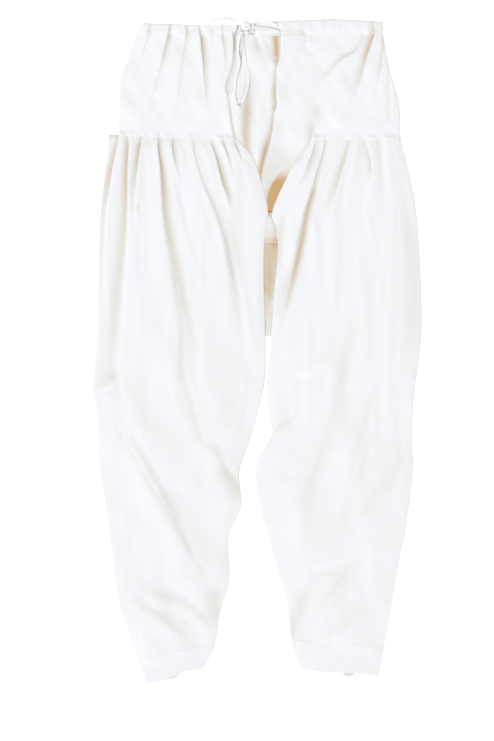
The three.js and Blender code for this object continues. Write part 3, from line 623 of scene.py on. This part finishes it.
def cloth_piece(name, grid, ring, painted_shade, thick=cloth_thick):
    """A thin cloth from a grid of points in millimetres, its rows down and its columns to the right."""
    rows, columns = grid.shape[:2]
    across = columns if ring else columns - 1
    down, right = np.meshgrid(np.arange(rows - 1), np.arange(across), indexing="ij")
    beside = (right + 1) % columns
    corners = [down * columns + right, (down + 1) * columns + right,
               (down + 1) * columns + beside, down * columns + beside]
    faces = np.stack(corners, -1).reshape(-1, 4)
    piece = new_piece(name, (grid.reshape(-1, 3) * mm).tolist(), faces.tolist())
    mesh = piece.data
    steps_across = np.linalg.norm(np.diff(grid, axis=1), axis=2).mean(axis=0)
    steps_down = np.linalg.norm(np.diff(grid, axis=0), axis=2).mean(axis=1)
    u = np.concatenate([[0], np.cumsum(steps_across)]) * mm
    v = np.concatenate([[0], np.cumsum(steps_down)]) * mm
    threads = np.stack(np.broadcast_arrays(u[None, :], v[:, None]), -1).reshape(-1, 2)
    layer = mesh.uv_layers.new(name="threads")
    layer.data.foreach_set("uv", threads[faces.ravel()].ravel())
    # The mark is painted shade: how much warm shade is painted into the cloth's colour at each point.
    mark = mesh.attributes.new("painted_shade", "FLOAT", "POINT")
    mark.data.foreach_set("value", np.ascontiguousarray(painted_shade, float).ravel())
    wall = piece.modifiers.new("wall", "SOLIDIFY")
    wall.thickness = thick * mm
    wall.offset = -1
    bpy.ops.object.modifier_apply(modifier="wall")
    bpy.ops.object.shade_smooth()
    mesh.materials.append(ivory)
    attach(piece, "root")
    return piece


def close_round(x, y, z):
    """Closes a front layer round its two sides with the back layer that it lies on."""
    left, right = x[:, :1], x[:, -1:]
    t = np.linspace(1, 0, back_columns)[None, :]
    inset = 0.7
    back_x = (left + inset) + (right - left - 2 * inset) * t
    back_y = y[:, :1] + (y[:, -1:] - y[:, :1]) * t
    back_z = np.zeros_like(back_x)
    return np.stack([np.hstack([x, back_x]), np.hstack([y, back_y]), np.hstack([z, back_z])], -1)


def round_side(from_left, from_right, turn):
    """The cloth's own curl where a layer folds round to the one under it."""
    left = np.clip(from_left / turn, 0, 1)
    right = np.clip(from_right / turn, 0, 1)
    return np.sqrt(1 - (1 - left) ** 2) * np.sqrt(1 - (1 - right) ** 2)


def deep_trough_shade(z, across_steps, down_steps, full):
    """Paints warm shade into the troughs that are deep and narrow."""
    sunk = soften(z, across_steps, down_steps) - z
    return 0.62 * ease((sunk - 0.25) / full)


def leg_row(leg, row):
    """Where a row of a leg starts and ends, how far it slants, and whether it is the left leg's."""
    top = ease((row - 250) / 66)
    low = ease((-340 - row) / 100)
    slant = leg["top_slant"] * top + leg["low_slant"] * low
    outer_x = along(leg["outer"], row + slant)
    inner_x = along(leg["inner"], row)
    left_side = leg["name"] == "left_leg"
    left_x, right_x = (outer_x, inner_x) if left_side else (inner_x, outer_x)
    return left_x, right_x, slant, left_side


def leg_steep(y):
    """How wide the steep side of a pleat is, from narrow at the belt to wide and soft at the knee."""
    return np.interp(-y, [-318, -280, -220, -150, -60, 20], [2.4, 3.6, 6, 10, 13, 16])


def lay_leg(leg, row_count, seed):
    """A leg's cloth, row by row from the belt's seam to the cuff, closed round its flat back."""
    step = np.linspace(0, 1, row_count)
    step[1] = edge_row
    step[-2] = 1 - edge_row
    row = leg["top"] + (leg["low"] - leg["top"]) * (0.6 * step + 0.4 * step ** 1.5)
    row = row[:, None]
    left_x, right_x, slant, left_side = leg_row(leg, row)
    width = right_x - left_x
    t = np.linspace(0, 1, leg["columns"])[None, :]
    t = t - 0.012 * np.sin(2 * np.pi * t)
    y = row + (1 - t if left_side else t) * slant
    x = left_x + width * t
    rise, shift, fold_shade = pleat_cloth(leg["pleats"], x, y, leg_steep)
    below = leg["top"] - row
    started = 0.55 + 0.45 * ease(below / 16)
    from_left = t * width
    from_right = (1 - t) * width
    free = np.minimum(from_left, from_right)
    puff = along(puff_rows, row) * (1 - np.abs(2 * t - 1) ** 3)
    creased, warm_shade = crease_cloth(leg["creases"], x, y)
    creased = creased * (1 - 0.7 * ease((-405 - row) / 35))
    streaks = rumple(230 * t + 0 * row, y, seed, 60, 0.42, 0.1) * (1 - 0.75 * ease((-20 - row) / 200))
    patches = rumple(x, y, seed + 1, 130, 0.8, 0.7) * ease((160 - row) / 240)
    tuck = -seam_tuck * (1 - ease(below / 9))
    z = layer_rest + puff + rise * started * ease(free / 4 + 0.2) + creased + streaks + patches + tuck
    z = np.maximum(z, under_layer + 0.25 * (z - under_layer))
    curl = round_side(from_left, from_right, side_turn)
    beyond_belt = np.clip(np.where(left_side, -206 - x, x - 213) / 3, 0, 1)
    turned_in = np.sqrt(1 - (1 - np.clip(below / 10, 0, 1)) ** 2)
    curl = curl * (1 - beyond_belt * (1 - turned_in))
    z = fold_level + (z - fold_level) * curl
    x = x + shift * started * ease(free / 6) * ease(below / 8) * ease((75 - below) / 40)
    # Painted warm shade in the pleat troughs, along the creases and in deep troughs, faded out at the sides
    painted_shade = np.maximum(0.4 * deep_trough_shade(z, 7, 3, 2.6), np.maximum(fold_shade, warm_shade)) * ease(free / 3)
    leg["seam"] = (x[0], z[0])
    leg["cuff_line"] = (x[-1], z[-1])
    mark = np.hstack([painted_shade, np.zeros((row_count, back_columns))])
    return cloth_piece(leg["name"], close_round(x, y, z), True, mark)


left_piece = lay_leg(left_leg, 180, 11)
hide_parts("leg_left")
right_piece = lay_leg(right_leg, 180, 23)
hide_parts("leg_right")


# Cuffs: the stiffened band at each ankle, the leg's own cloth turned up over a firm strip and stitched round
# in close rows. The back of each hem shows below its front, with shade painted on it.
cuff_lap = 2
cuff_raise = 0.12
cuff_puff = 1.6
cuff_thick = 0.8


def lay_cuff(leg, name, seed):
    """A cuff's cloth from the leg's end to the hem, closed round its back, which hangs a little lower."""
    rows = 34
    columns = 110
    down = np.linspace(0, 1, rows)[:, None]
    down[1] = 12 * edge_row
    t = np.linspace(0, 1, columns)[None, :]
    left_side = leg["name"] == "left_leg"
    outward = t if left_side else 1 - t
    seam = leg["low"] + (1 - outward) * leg["low_slant"] + cuff_lap
    hem = np.interp(outward, *zip(*leg["hem"]))
    y = seam + (hem - seam) * down
    outer_y = y[:, :1] if left_side else y[:, -1:]
    inner_y = y[:, -1:] if left_side else y[:, :1]
    outer_x = along(leg["outer"], outer_y)
    inner_x = along(leg["inner"], inner_y)
    left_x, right_x = (outer_x, inner_x) if left_side else (inner_x, outer_x)
    width = right_x - left_x
    x = left_x + width * t
    belly = 1 - np.abs(2 * t - 1) ** 3
    z = layer_rest + belly * cuff_puff + rumple(x, y, seed, 70, 0.3)
    seam_z = np.interp(x, *leg["cuff_line"])
    blend = ease(down / 0.45)
    z = seam_z + cuff_raise + (z - seam_z - cuff_raise) * blend
    curl = round_side(t * width, (1 - t) * width, side_turn)
    z = fold_level + (z - fold_level) * np.maximum(curl, 1 - blend)
    grid = close_round(x, y, z)
    mark = np.zeros(grid.shape[:2])
    middle, reach, drop = leg["back_hem"]
    bulge = np.exp(-((grid[:, columns:, 0] - middle) / reach) ** 4) * ease((down - 0.8) / 0.2)
    grid[:, columns:, 1] -= drop * bulge
    # Painted shade on the back hem where it shows below the front
    mark[:, columns:] = 0.4 * bulge
    return cloth_piece(name, grid, True, mark, cuff_thick)


left_cuff = lay_cuff(left_leg, "left_cuff", 5)
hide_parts("cuff_left")
right_cuff = lay_cuff(right_leg, "right_cuff", 8)
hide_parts("cuff_right")


# Belt: the yoke, two cotton panels sewn at the sides. The front is gathered at the drawstring, laps over
# itself beside the slit, and runs down to a point between the legs, where it sinks out of the light.
casing_line = 475.0
seam_level = 322.0
seam_lap = 2.6
belt_puff = 2.8
between_level = 2.8
point_level = 3.0
belt_left = [(496, -170), (477, -181), (447, -191), (411, -205), (377, -208), (325, -209)]
belt_right = [(496, 190), (477, 191), (447, 196), (411, 204), (377, 214), (325, 217)]
belt_pleats = [
    ("left", [(496, -159, 1.8, 4), (477, -162, 2.2, 5), (451, -171, 1.8, 5), (433, -175, 0, 5)]),
    ("left", [(494, -130, 3, 4), (484, -131, 4.6, 5), (470, -134, 4.2, 6), (456, -138, 3.2, 7),
        (433, -143, 2.2, 8), (399, -152, 1.6, 10), (354, -164, 0, 12)]),
    ("left", [(492, -106, 3.6, 5), (478, -105, 3.8, 6), (464, -107, 2, 8), (447, -110, 1.6, 10),
        (400, -116, 1.3, 14), (340, -122, 0, 14)]),
    ("left", [(496, -89, 3, 7), (486, -87, 2.6, 5), (478, -85, 3.4, 5), (470, -84, 4.6, 7),
        (456, -83, 4.4, 9), (436, -81, 3.8, 9), (412, -79, 3, 8), (390, -76, 1.8, 8), (366, -73, 0, 8)]),
    ("left", [(482, -68, 1, 5), (465, -67, 1, 6), (437, -66, 0, 6)]),
    ("left", [(484, -52, 2.2, 6), (462, -50, 2.4, 7), (440, -47, 1.6, 7), (415, -47, 0, 6)]),
    ("left", [(492, -36, 0, 5), (482, -36, 1, 5), (474, -35, 4.2, 6), (462, -34.5, 4.6, 6),
        (450, -35, 3.8, 6), (430, -37, 3, 6), (412, -42, 2.6, 7), (402, -46, 3, 10), (390, -46, 3, 10),
        (382, -44, 2.2, 5), (355, -40, 2.8, 4), (330, -37, 4, 4), (312, -33, 4, 4)]),
    ("right", [(488, -12, 3.4, 6), (474, -13, 4, 7), (462, -17, 3, 6), (440, -21, 2.8, 5),
        (418, -22, 1.6, 5), (405, -22, 0, 5)]),
    ("right", [(492, 36, 0, 10), (482, 36, 2, 10), (474, 36, 5.6, 11), (450, 35.5, 6, 11),
        (438, 34, 5.6, 9), (430, 32, 4, 4), (406, 30.5, 4, 4), (388, 30, 5.4, 7), (368, 31, 6, 8),
        (358, 28, 4, 4), (346, 27, 4, 4), (330, 24.5, 5, 5), (315, 20.5, 5.8, 7), (300, 17, 6.6, 9),
        (283, 13, 7, 11), (261, 10, 7, 12), (240, 10, 4, 8)]),
    ("right", [(492, 178, 4, 7), (478, 178, 6, 9), (464, 174, 5.2, 9), (440, 166, 4.2, 9),
        (420, 161, 3.4, 9), (400, 156, 2, 8), (380, 152, 0, 8)]),
    ("right", [(494, 190, 2.4, 3), (459, 193, 2.6, 3.5), (429, 189, 2.6, 4), (406, 186, 1.6, 4),
        (380, 184, 0, 4)]),
    ("right", [(484, 76, 0, 5), (476, 77, 2, 6), (464, 77, 1.8, 6), (452, 76, 0, 6)]),
]
belt_creases = [
    ([(-11, 430), (-12, 378), (-15, 346), (-16, 316), (-8, 275), (0, 235)], 2.4, 9, 8, 0.74),
    ([(-25, 480), (-29, 462), (-30, 446)], 1.2, 4, 3, 0.3),
    ([(-4, 480), (2, 462), (8, 446)], 1.6, 5, 4, 0.3),
    ([(14, 470), (20, 452), (22, 436)], 0.9, 7, 5, 0.06),
    ([(-58, 470), (-56, 440), (-58, 415)], 0.6, 6, 5, 0),
    ([(172, 500), (163, 477), (148, 454), (125, 440), (103, 414), (70, 378)], 1.6, 15, 6, 0.05),
    ([(176, 506), (164, 478), (149, 455), (126, 441), (108, 421), (90, 400)], 1.8, 4, 3, 0.27),
    ([(25, 340), (18, 314), (12, 294), (8, 276), (6, 258), (8, 236)], 1.0, 6, 3, 1.0),
    ([(31, 490), (30, 470), (31, 448), (33, 424)], 0.8, 7, 4, 0.95),
    ([(168, 484), (154, 455), (131, 438), (110, 416), (84, 386)], -1.4, 5, 6, 0),
    ([(150, 440), (122, 400), (96, 376), (70, 350)], 0.8, 18, 10, 0),
    ([(96, 378), (90, 345), (86, 312)], 1.4, 9, 7, 0.16),
    ([(199, 436), (200, 380), (200, 329)], 1.0, 3, 3, 0.04),
    ([(46, 268), (36, 248), (28, 230), (22, 210)], 1.6, 9, 6, 0),
    ([(-150, 390), (-160, 345)], 0.7, 14, 10, 0),
    ([(-106, 400), (-98, 335)], 0.7, 14, 10, 0),
    ([(60, 462), (78, 452), (84, 440)], 0.8, 8, 6, 0.04),
]
belt_point = [(-28, 314), (-24, 310), (-14, 298), (-2, 280), (6, 256), (12, 236), (17, 214), (21, 198),
              (25, 200), (30, 214), (36, 229), (47, 252), (56, 268), (70, 288), (84, 312), (88, 317)]


def belt_low(x):
    """The belt's lower edge: the seams of both legs, and the point between them."""
    left = np.interp(x, [-222, -26], [325, 316]) - seam_lap
    right = 318 - seam_lap
    point = np.interp(x, *zip(*belt_point))
    return np.where(x < -28, left, np.where(x > 88, right, point))


def belt_side_x(part, y):
    """How far to the right a part of the belt's width is, at a height."""
    left = along(belt_left, y)
    return left + (along(belt_right, y) - left) * part


def belt_steep(y):
    """How wide the steep side of a fold in the belt is."""
    return np.interp(-y, [-480, -440, -330], [2.4, 3, 3.2])


rows = 120
down = np.linspace(0, 1, rows)[:, None]
down[-2] = 1 - 3 * edge_row
part = np.linspace(0, 1, 270)[None, :]
low = belt_low(belt_side_x(part, seam_level))
y = casing_line + (low - casing_line) * down
x = belt_side_x(part, np.maximum(y, seam_level))
rise, shift, fold_shade = pleat_cloth(belt_pleats, x, y, belt_steep)
creased, warm_shade = crease_cloth(belt_creases, x, y)
puff = belt_puff * (1 - np.abs(2 * part - 1) ** 4)
z = layer_rest + puff + rise + creased + rumple(x, y, 31, 90, 0.75, 0.7)
hold = ease(np.minimum(part, 1 - part) / 0.015) * ease(down / 0.06) * ease((1 - down) / 0.06)
sink = ease((312 - y) / 60) * ease((x + 30) / 14)
z = z * (1 - sink) + (point_level + 0.5 * rise) * sink

# Near the seams the belt comes down to the legs: first to their mean height, then to each pleat
seam_x, seam_z = np.concatenate([left_leg["seam"], right_leg["seam"]], axis=1)
at_seam = np.interp(x, seam_x, seam_z) + 0.2 - 0.45 * ease(1 - (y - low) / 1.6)
seam_spots = np.linspace(-230, 230, 231)
mean_over = 31
spot_z = np.pad(np.interp(seam_spots, seam_x, seam_z), mean_over // 2, mode="edge")
mean_seam = np.convolve(spot_z, np.ones(mean_over) / mean_over, "valid")
at_mean = np.interp(x, seam_spots, mean_seam)
between_legs = ease((x + 30) / 12) * ease((88 - x) / 12)
z = z + (at_mean - z) * ease((36 - (y - low)) / 30) * (1 - between_legs)
z = z + (at_seam - z) * ease((11 - (y - low)) / 7) * (1 - between_legs)
z = z + (between_level - z) * ease((18 - (y - low)) / 16) * ease((y - 240) / 20) * between_legs
z = 2.0 + np.maximum(z - 2.0, 0.2 * (z - 2.0))
z = 1.6 + (z - 1.6) * round_side(x - x[:, :1], x[:, -1:] - x, 3.0)

# The belt has warm shade painted into its colour down in its folds, in the pocket beside the right leg and
# on the point
painted_shade = np.maximum(0.4 * deep_trough_shade(z, 5, 4, 2.2), np.maximum(fold_shade, warm_shade))
pocket_left = np.interp(-y, [-286, -265, -253, -238, -205], [46, 31, 22, 15, 9])
pocket_shade = ease((x - pocket_left + 3) / 7) * ease((288 - y) / 36)
shaded = 0.34 * ease((318 - y) / 50) * ease((x - 2) / 12)
painted_shade = np.clip(np.maximum(np.maximum(painted_shade, shaded), pocket_shade), 0, 1)
belt_top = (x[0], z[0])
belt_front = cloth_piece("belt_front", np.stack([x + shift * hold, y, z], -1), False, painted_shade)
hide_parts("yoke_front")

rows = 30
down = np.linspace(0, 1, rows)[:, None]
part = np.linspace(0, 1, 60)[None, :]
low = belt_low(belt_side_x(part, seam_level)) - 1
y = casing_line + (low - casing_line) * down
x = belt_side_x(part, np.maximum(y, seam_level))
z = np.full(x.shape, cloth_thick)
belt_back = cloth_piece("belt_back", np.stack([x, y, z], -1), False, np.zeros(x.shape))
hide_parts("yoke_back")


# Casing: the belt's top turned down and stitched to hold the drawstring, drawn into small gathers, and
# open at the slit in front, where the tape comes out.
waist_wide = 370
waist_level = 476
casing_lap = 1.6
casing_raise = 0.15
casing_level = 1.4
casing_thick = 0.45
# The casing's top: how far along the waist, and its height there
casing_top = [(0, 494), (0.3, 490), (0.4, 491), (0.5, 496), (0.8, 500), (1, 496)]


def casing_top_at(part):
    """The height of the casing's top at a part of its width."""
    return np.interp(part, *zip(*casing_top))


def lay_casing(name, from_part, to_part, stations, gathers, seed):
    """One side of the casing: its gathered front, rolled over at the waist to its back."""
    draw = np.random.default_rng(seed)
    t = np.linspace(0, 1, stations)[:, None]
    part = from_part + (to_part - from_part) * t
    spots = np.sort(draw.uniform(0.03, 0.97, gathers))
    pinch = np.zeros_like(t)
    for spot in spots:
        away = (t - spot) * (to_part - from_part) * waist_wide
        pinch += draw.uniform(0.3, 1.0) * np.exp(-(away / 3.5) ** 2)
    pinch = np.clip(pinch, 0, 1.1)
    top = casing_top_at(part) - 0.7 * pinch
    front_steps = 22
    v = np.linspace(0, 1, front_steps)[None, :]
    v[0, 1] = 20 * edge_row
    y = (casing_line - casing_lap) + (top - casing_line + casing_lap) * v
    x = belt_side_x(part, np.maximum(y, waist_level))
    rise, shift, fold_shade = pleat_cloth(belt_pleats, x, y, belt_steep)
    full = np.sin(np.pi * v) ** 0.7
    level_z = layer_rest + belt_puff * (1 - np.abs(2 * part - 1) ** 4)
    z = level_z + 0.1 + 0.6 * full + rise * (1 - 0.3 * v) - 0.7 * pinch * full - 0.2 * pinch
    z = z + rumple(x, y, seed, 26, 0.18)
    belt_z = np.interp(x, *belt_top) + casing_raise
    z = belt_z + (z - belt_z) * ease(v / 0.45) - casing_raise * ease(1 - v * front_steps / 1.6)
    roll = np.sqrt(1 - np.clip((v - 0.82) / 0.18, 0, 1) ** 2)
    z = casing_level + (z - casing_level) * roll
    ends = round_side(part * waist_wide, (1 - part) * waist_wide, 3)
    z = casing_level + (z - casing_level) * ends
    w = np.linspace(0, 1, 8)[None, :]
    back_y = (top - 0.5) + (casing_line - top + 0.5) * w
    back_x = belt_side_x(part, np.maximum(back_y, waist_level))
    back_z = np.full(back_y.shape, 0.9) + 0.1 * w
    grid = np.stack([np.hstack([x, back_x]), np.hstack([y, back_y]), np.hstack([z, back_z])], -1)
    # Painted warm shade in the casing's pleat troughs, gathers and deep troughs
    warm_shade = 0.8 * fold_shade * (1 - 0.5 * v) + 0.1 * pinch * full
    front = np.maximum(0.5 * deep_trough_shade(z, 4, 5, 2.0), warm_shade)
    painted_shade = np.hstack([front, np.zeros(back_x.shape)])
    return cloth_piece(name, grid, True, painted_shade, casing_thick)


casing_left = lay_casing("casing_left", 0, 0.40, 170, 8, 3)
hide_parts("casing_front_left")
casing_right = lay_casing("casing_right", 0.478, 1, 200, 7, 6)
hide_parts("casing_front_right")

# The back of the casing shows in the slit, where the tape lifts it into small gathers, with shade painted in
# them
part = np.linspace(0, 1, 420)[None, :]
down = np.linspace(0, 1, 12)[:, None]
top = casing_top_at(part) - 0.6
y = top + (casing_line - top) * down
x = belt_side_x(part, np.maximum(y, waist_level))
lifted = np.exp(-((x + 13) / 19) ** 4)
waves = np.sin(x * 1.15 + 0.35 * np.sin(y * 0.5))
z = 0.6 + lifted * (6.5 + 0.8 * waves)
z = z - 4.5 * lifted * (1 - ease(down / 0.2))
# Painted shade on the gathers in the slit
mark = 0.08 + lifted * (0.14 - 0.14 * waves)
casing_back = cloth_piece("casing_behind", np.stack([x, y, z], -1), False, mark)
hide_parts("casing_back")


# Gusset: two small cotton pieces that widen the crotch, sewn to the legs' inner seams and to each other at
# the cross seam. The upper one catches the light, and the lower one lies deep between the legs. Both have
# warm shade painted into their colour, most at the top of the upper one and down the lower one.
gusset_top_line = 209
cross_seam = 163.0
gusset_tuck = 1.2


def lay_gusset(name, top_y, low_y, rows, shade_rows):
    """A gusset piece between two heights, its sides tucked under the legs."""
    down = np.linspace(0, 1, rows)[:, None]
    t = np.linspace(0, 1, 26)[None, :]
    y = top_y + (low_y - top_y) * down
    left = along(left_leg["inner"], y) - gusset_tuck
    right = along(right_leg["inner"], y) + gusset_tuck
    x = left + (right - left) * t
    crown = np.interp(-y, [-209, -163, -130, -20], [5.6, 4.6, 2.6, 1.8])
    z = 0.7 * crown + 0.3 * crown * np.sin(np.pi * t) ** 0.6 + rumple(x, y, 17, 26, 0.15)
    z = np.maximum(z, 0.9)
    heights, middles, sides = np.array(shade_rows).T
    middle = np.interp(-y, -heights, middles)
    beside = np.interp(-y, -heights, sides)
    # Painted warm shade across the gusset, from its middle to its right-hand side
    painted_shade = middle + (beside - middle) * ease((t - 0.55) / 0.3) + 0.02 * rumple(x, y, 4, 30, 1)
    return cloth_piece(name, np.stack(np.broadcast_arrays(x, y, z), -1), False, np.clip(painted_shade, 0, 1))


# Each row: height, how much warm shade is painted on the middle, and how much on the right-hand side
upper_shade = [(209, 1.0, 0.6), (204, 0.8, 0.3), (199, 0.25, 0.3), (182, 0.26, 0.45), (172, 0.45, 0.6),
                (163, 0.85, 0.85)]
lower_shade = [(163, 0.9, 0.9), (156, 0.8, 0.8), (90, 0.8, 0.71), (75, 0.6, 0.48), (48, 0.42, 0.4),
                (20, 0.25, 0.3)]
gusset_top = lay_gusset("gusset_above", gusset_top_line, cross_seam, 30, upper_shade)
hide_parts("gusset_upper")
gusset_low = lay_gusset("gusset_below", cross_seam - 0.4, 22, 70, lower_shade)
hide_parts("gusset_lower")


# Stitches: machine rows in ivory cotton thread along the belt's and the casing's seams and across the cuffs
# and the gusset, lying on the cloth that they hold.
stitch_pitch = 3.2
stitch_long = 2.3
stitch_wide = 0.45
stitch_high = 0.06
thread_paint = bpy.data.materials.new("cotton_thread")
thread_paint.use_nodes = True
thread_shader = thread_paint.node_tree.nodes["Principled BSDF"]
thread_shader.inputs["Base Color"].default_value = (0.83, 0.825, 0.81, 1)
thread_shader.inputs["Roughness"].default_value = 0.7


def surface_of(piece):
    """A piece's surface, to drop the thread onto."""
    mesh = piece.data
    corners = [vertex.co.copy() for vertex in mesh.vertices]
    return BVHTree.FromPolygons(corners, [tuple(face.vertices) for face in mesh.polygons])


def sew_row(name, lines, pieces):
    """One row of stitches or more, each stitch a small rounded bar dropped onto the cloth."""
    cloths = [surface_of(piece) for piece in pieces]
    verts = []
    faces = []
    for points in lines:
        line = np.array(points, float)
        steps = np.concatenate([[0], np.cumsum(np.hypot(*np.diff(line, axis=0).T))])
        for start in np.arange(2, steps[-1] - stitch_pitch, stitch_pitch):
            ends = []
            for at in (start, start + stitch_long / 2, start + stitch_long):
                x = np.interp(at, steps, line[:, 0])
                y = np.interp(at, steps, line[:, 1])
                above = Vector((x * mm, y * mm, 0.1))
                found = [cloth.ray_cast(above, Vector((0, 0, -1)))[0] for cloth in cloths]
                tops = [hit.z for hit in found if hit is not None]
                if tops:
                    ends.append(Vector((x, y, max(tops) / mm)))
            if len(ends) < 3:
                continue
            side = (ends[2] - ends[0]).cross(Vector((0, 0, 1))).normalized() * stitch_wide / 2
            first = len(verts)
            for place, raised in zip(ends, (0.05, 1, 0.05)):
                top = place + Vector((0, 0, stitch_high * raised))
                low = place - Vector((0, 0, 0.25))
                verts += [q * mm for q in (low - side, low + side, top + 0.6 * side, top - 0.6 * side)]
            for ring in (first, first + 4):
                for k in range(4):
                    n = (k + 1) % 4
                    faces.append((ring + k, ring + n, ring + 4 + n, ring + 4 + k))
            faces.append((first + 3, first + 2, first + 1, first))
            faces.append((first + 8, first + 9, first + 10, first + 11))
    row = new_piece(name, [tuple(v) for v in verts], faces)
    row.data.materials.append(thread_paint)
    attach(row, "root")


def row_between(left, right, count=40):
    """The points of a straight row of stitches."""
    t = np.linspace(0, 1, count)[:, None]
    return np.array(left) + (np.array(right) - np.array(left)) * t


belt_seam_left = row_between((-205, 326), (-30, 318.5))
belt_seam_right = row_between((90, 320.5), (212, 320.5))
sew_row("belt_seam_stitches", [belt_seam_left, belt_seam_right], [belt_front, left_piece, right_piece])
casing_rows = [row_between((-178, casing_line + 1), (-32, casing_line + 1)),
               row_between((6, casing_line + 1), (187, casing_line + 1))]
sew_row("casing_stitches", casing_rows, [casing_left, casing_right, belt_front])


# How far below the leg's end each row across a cuff is
cuff_row_drops = (4, 11, 18, 25, 31)


def cuff_rows(leg):
    """The rows of stitches across a cuff, which slant as its seam does."""
    found = []
    for drop in cuff_row_drops:
        low = leg["low"] - drop
        left_side = leg["name"] == "left_leg"
        outer_end = (along(leg["outer"], low + leg["low_slant"]), low + leg["low_slant"])
        inner_end = (along(leg["inner"], low), low)
        ends = (outer_end, inner_end) if left_side else (inner_end, outer_end)
        found.append(row_between((float(ends[0][0]) + 3, ends[0][1]), (float(ends[1][0]) - 3, ends[1][1])))
    return found


sew_row("left_cuff_stitches", cuff_rows(left_leg), [left_cuff, left_piece])
sew_row("right_cuff_stitches", cuff_rows(right_leg), [right_cuff, right_piece])
sew_row("cross_seam_stitches", [row_between((15, 165.5), (29, 165.5), 4)], [gusset_top])
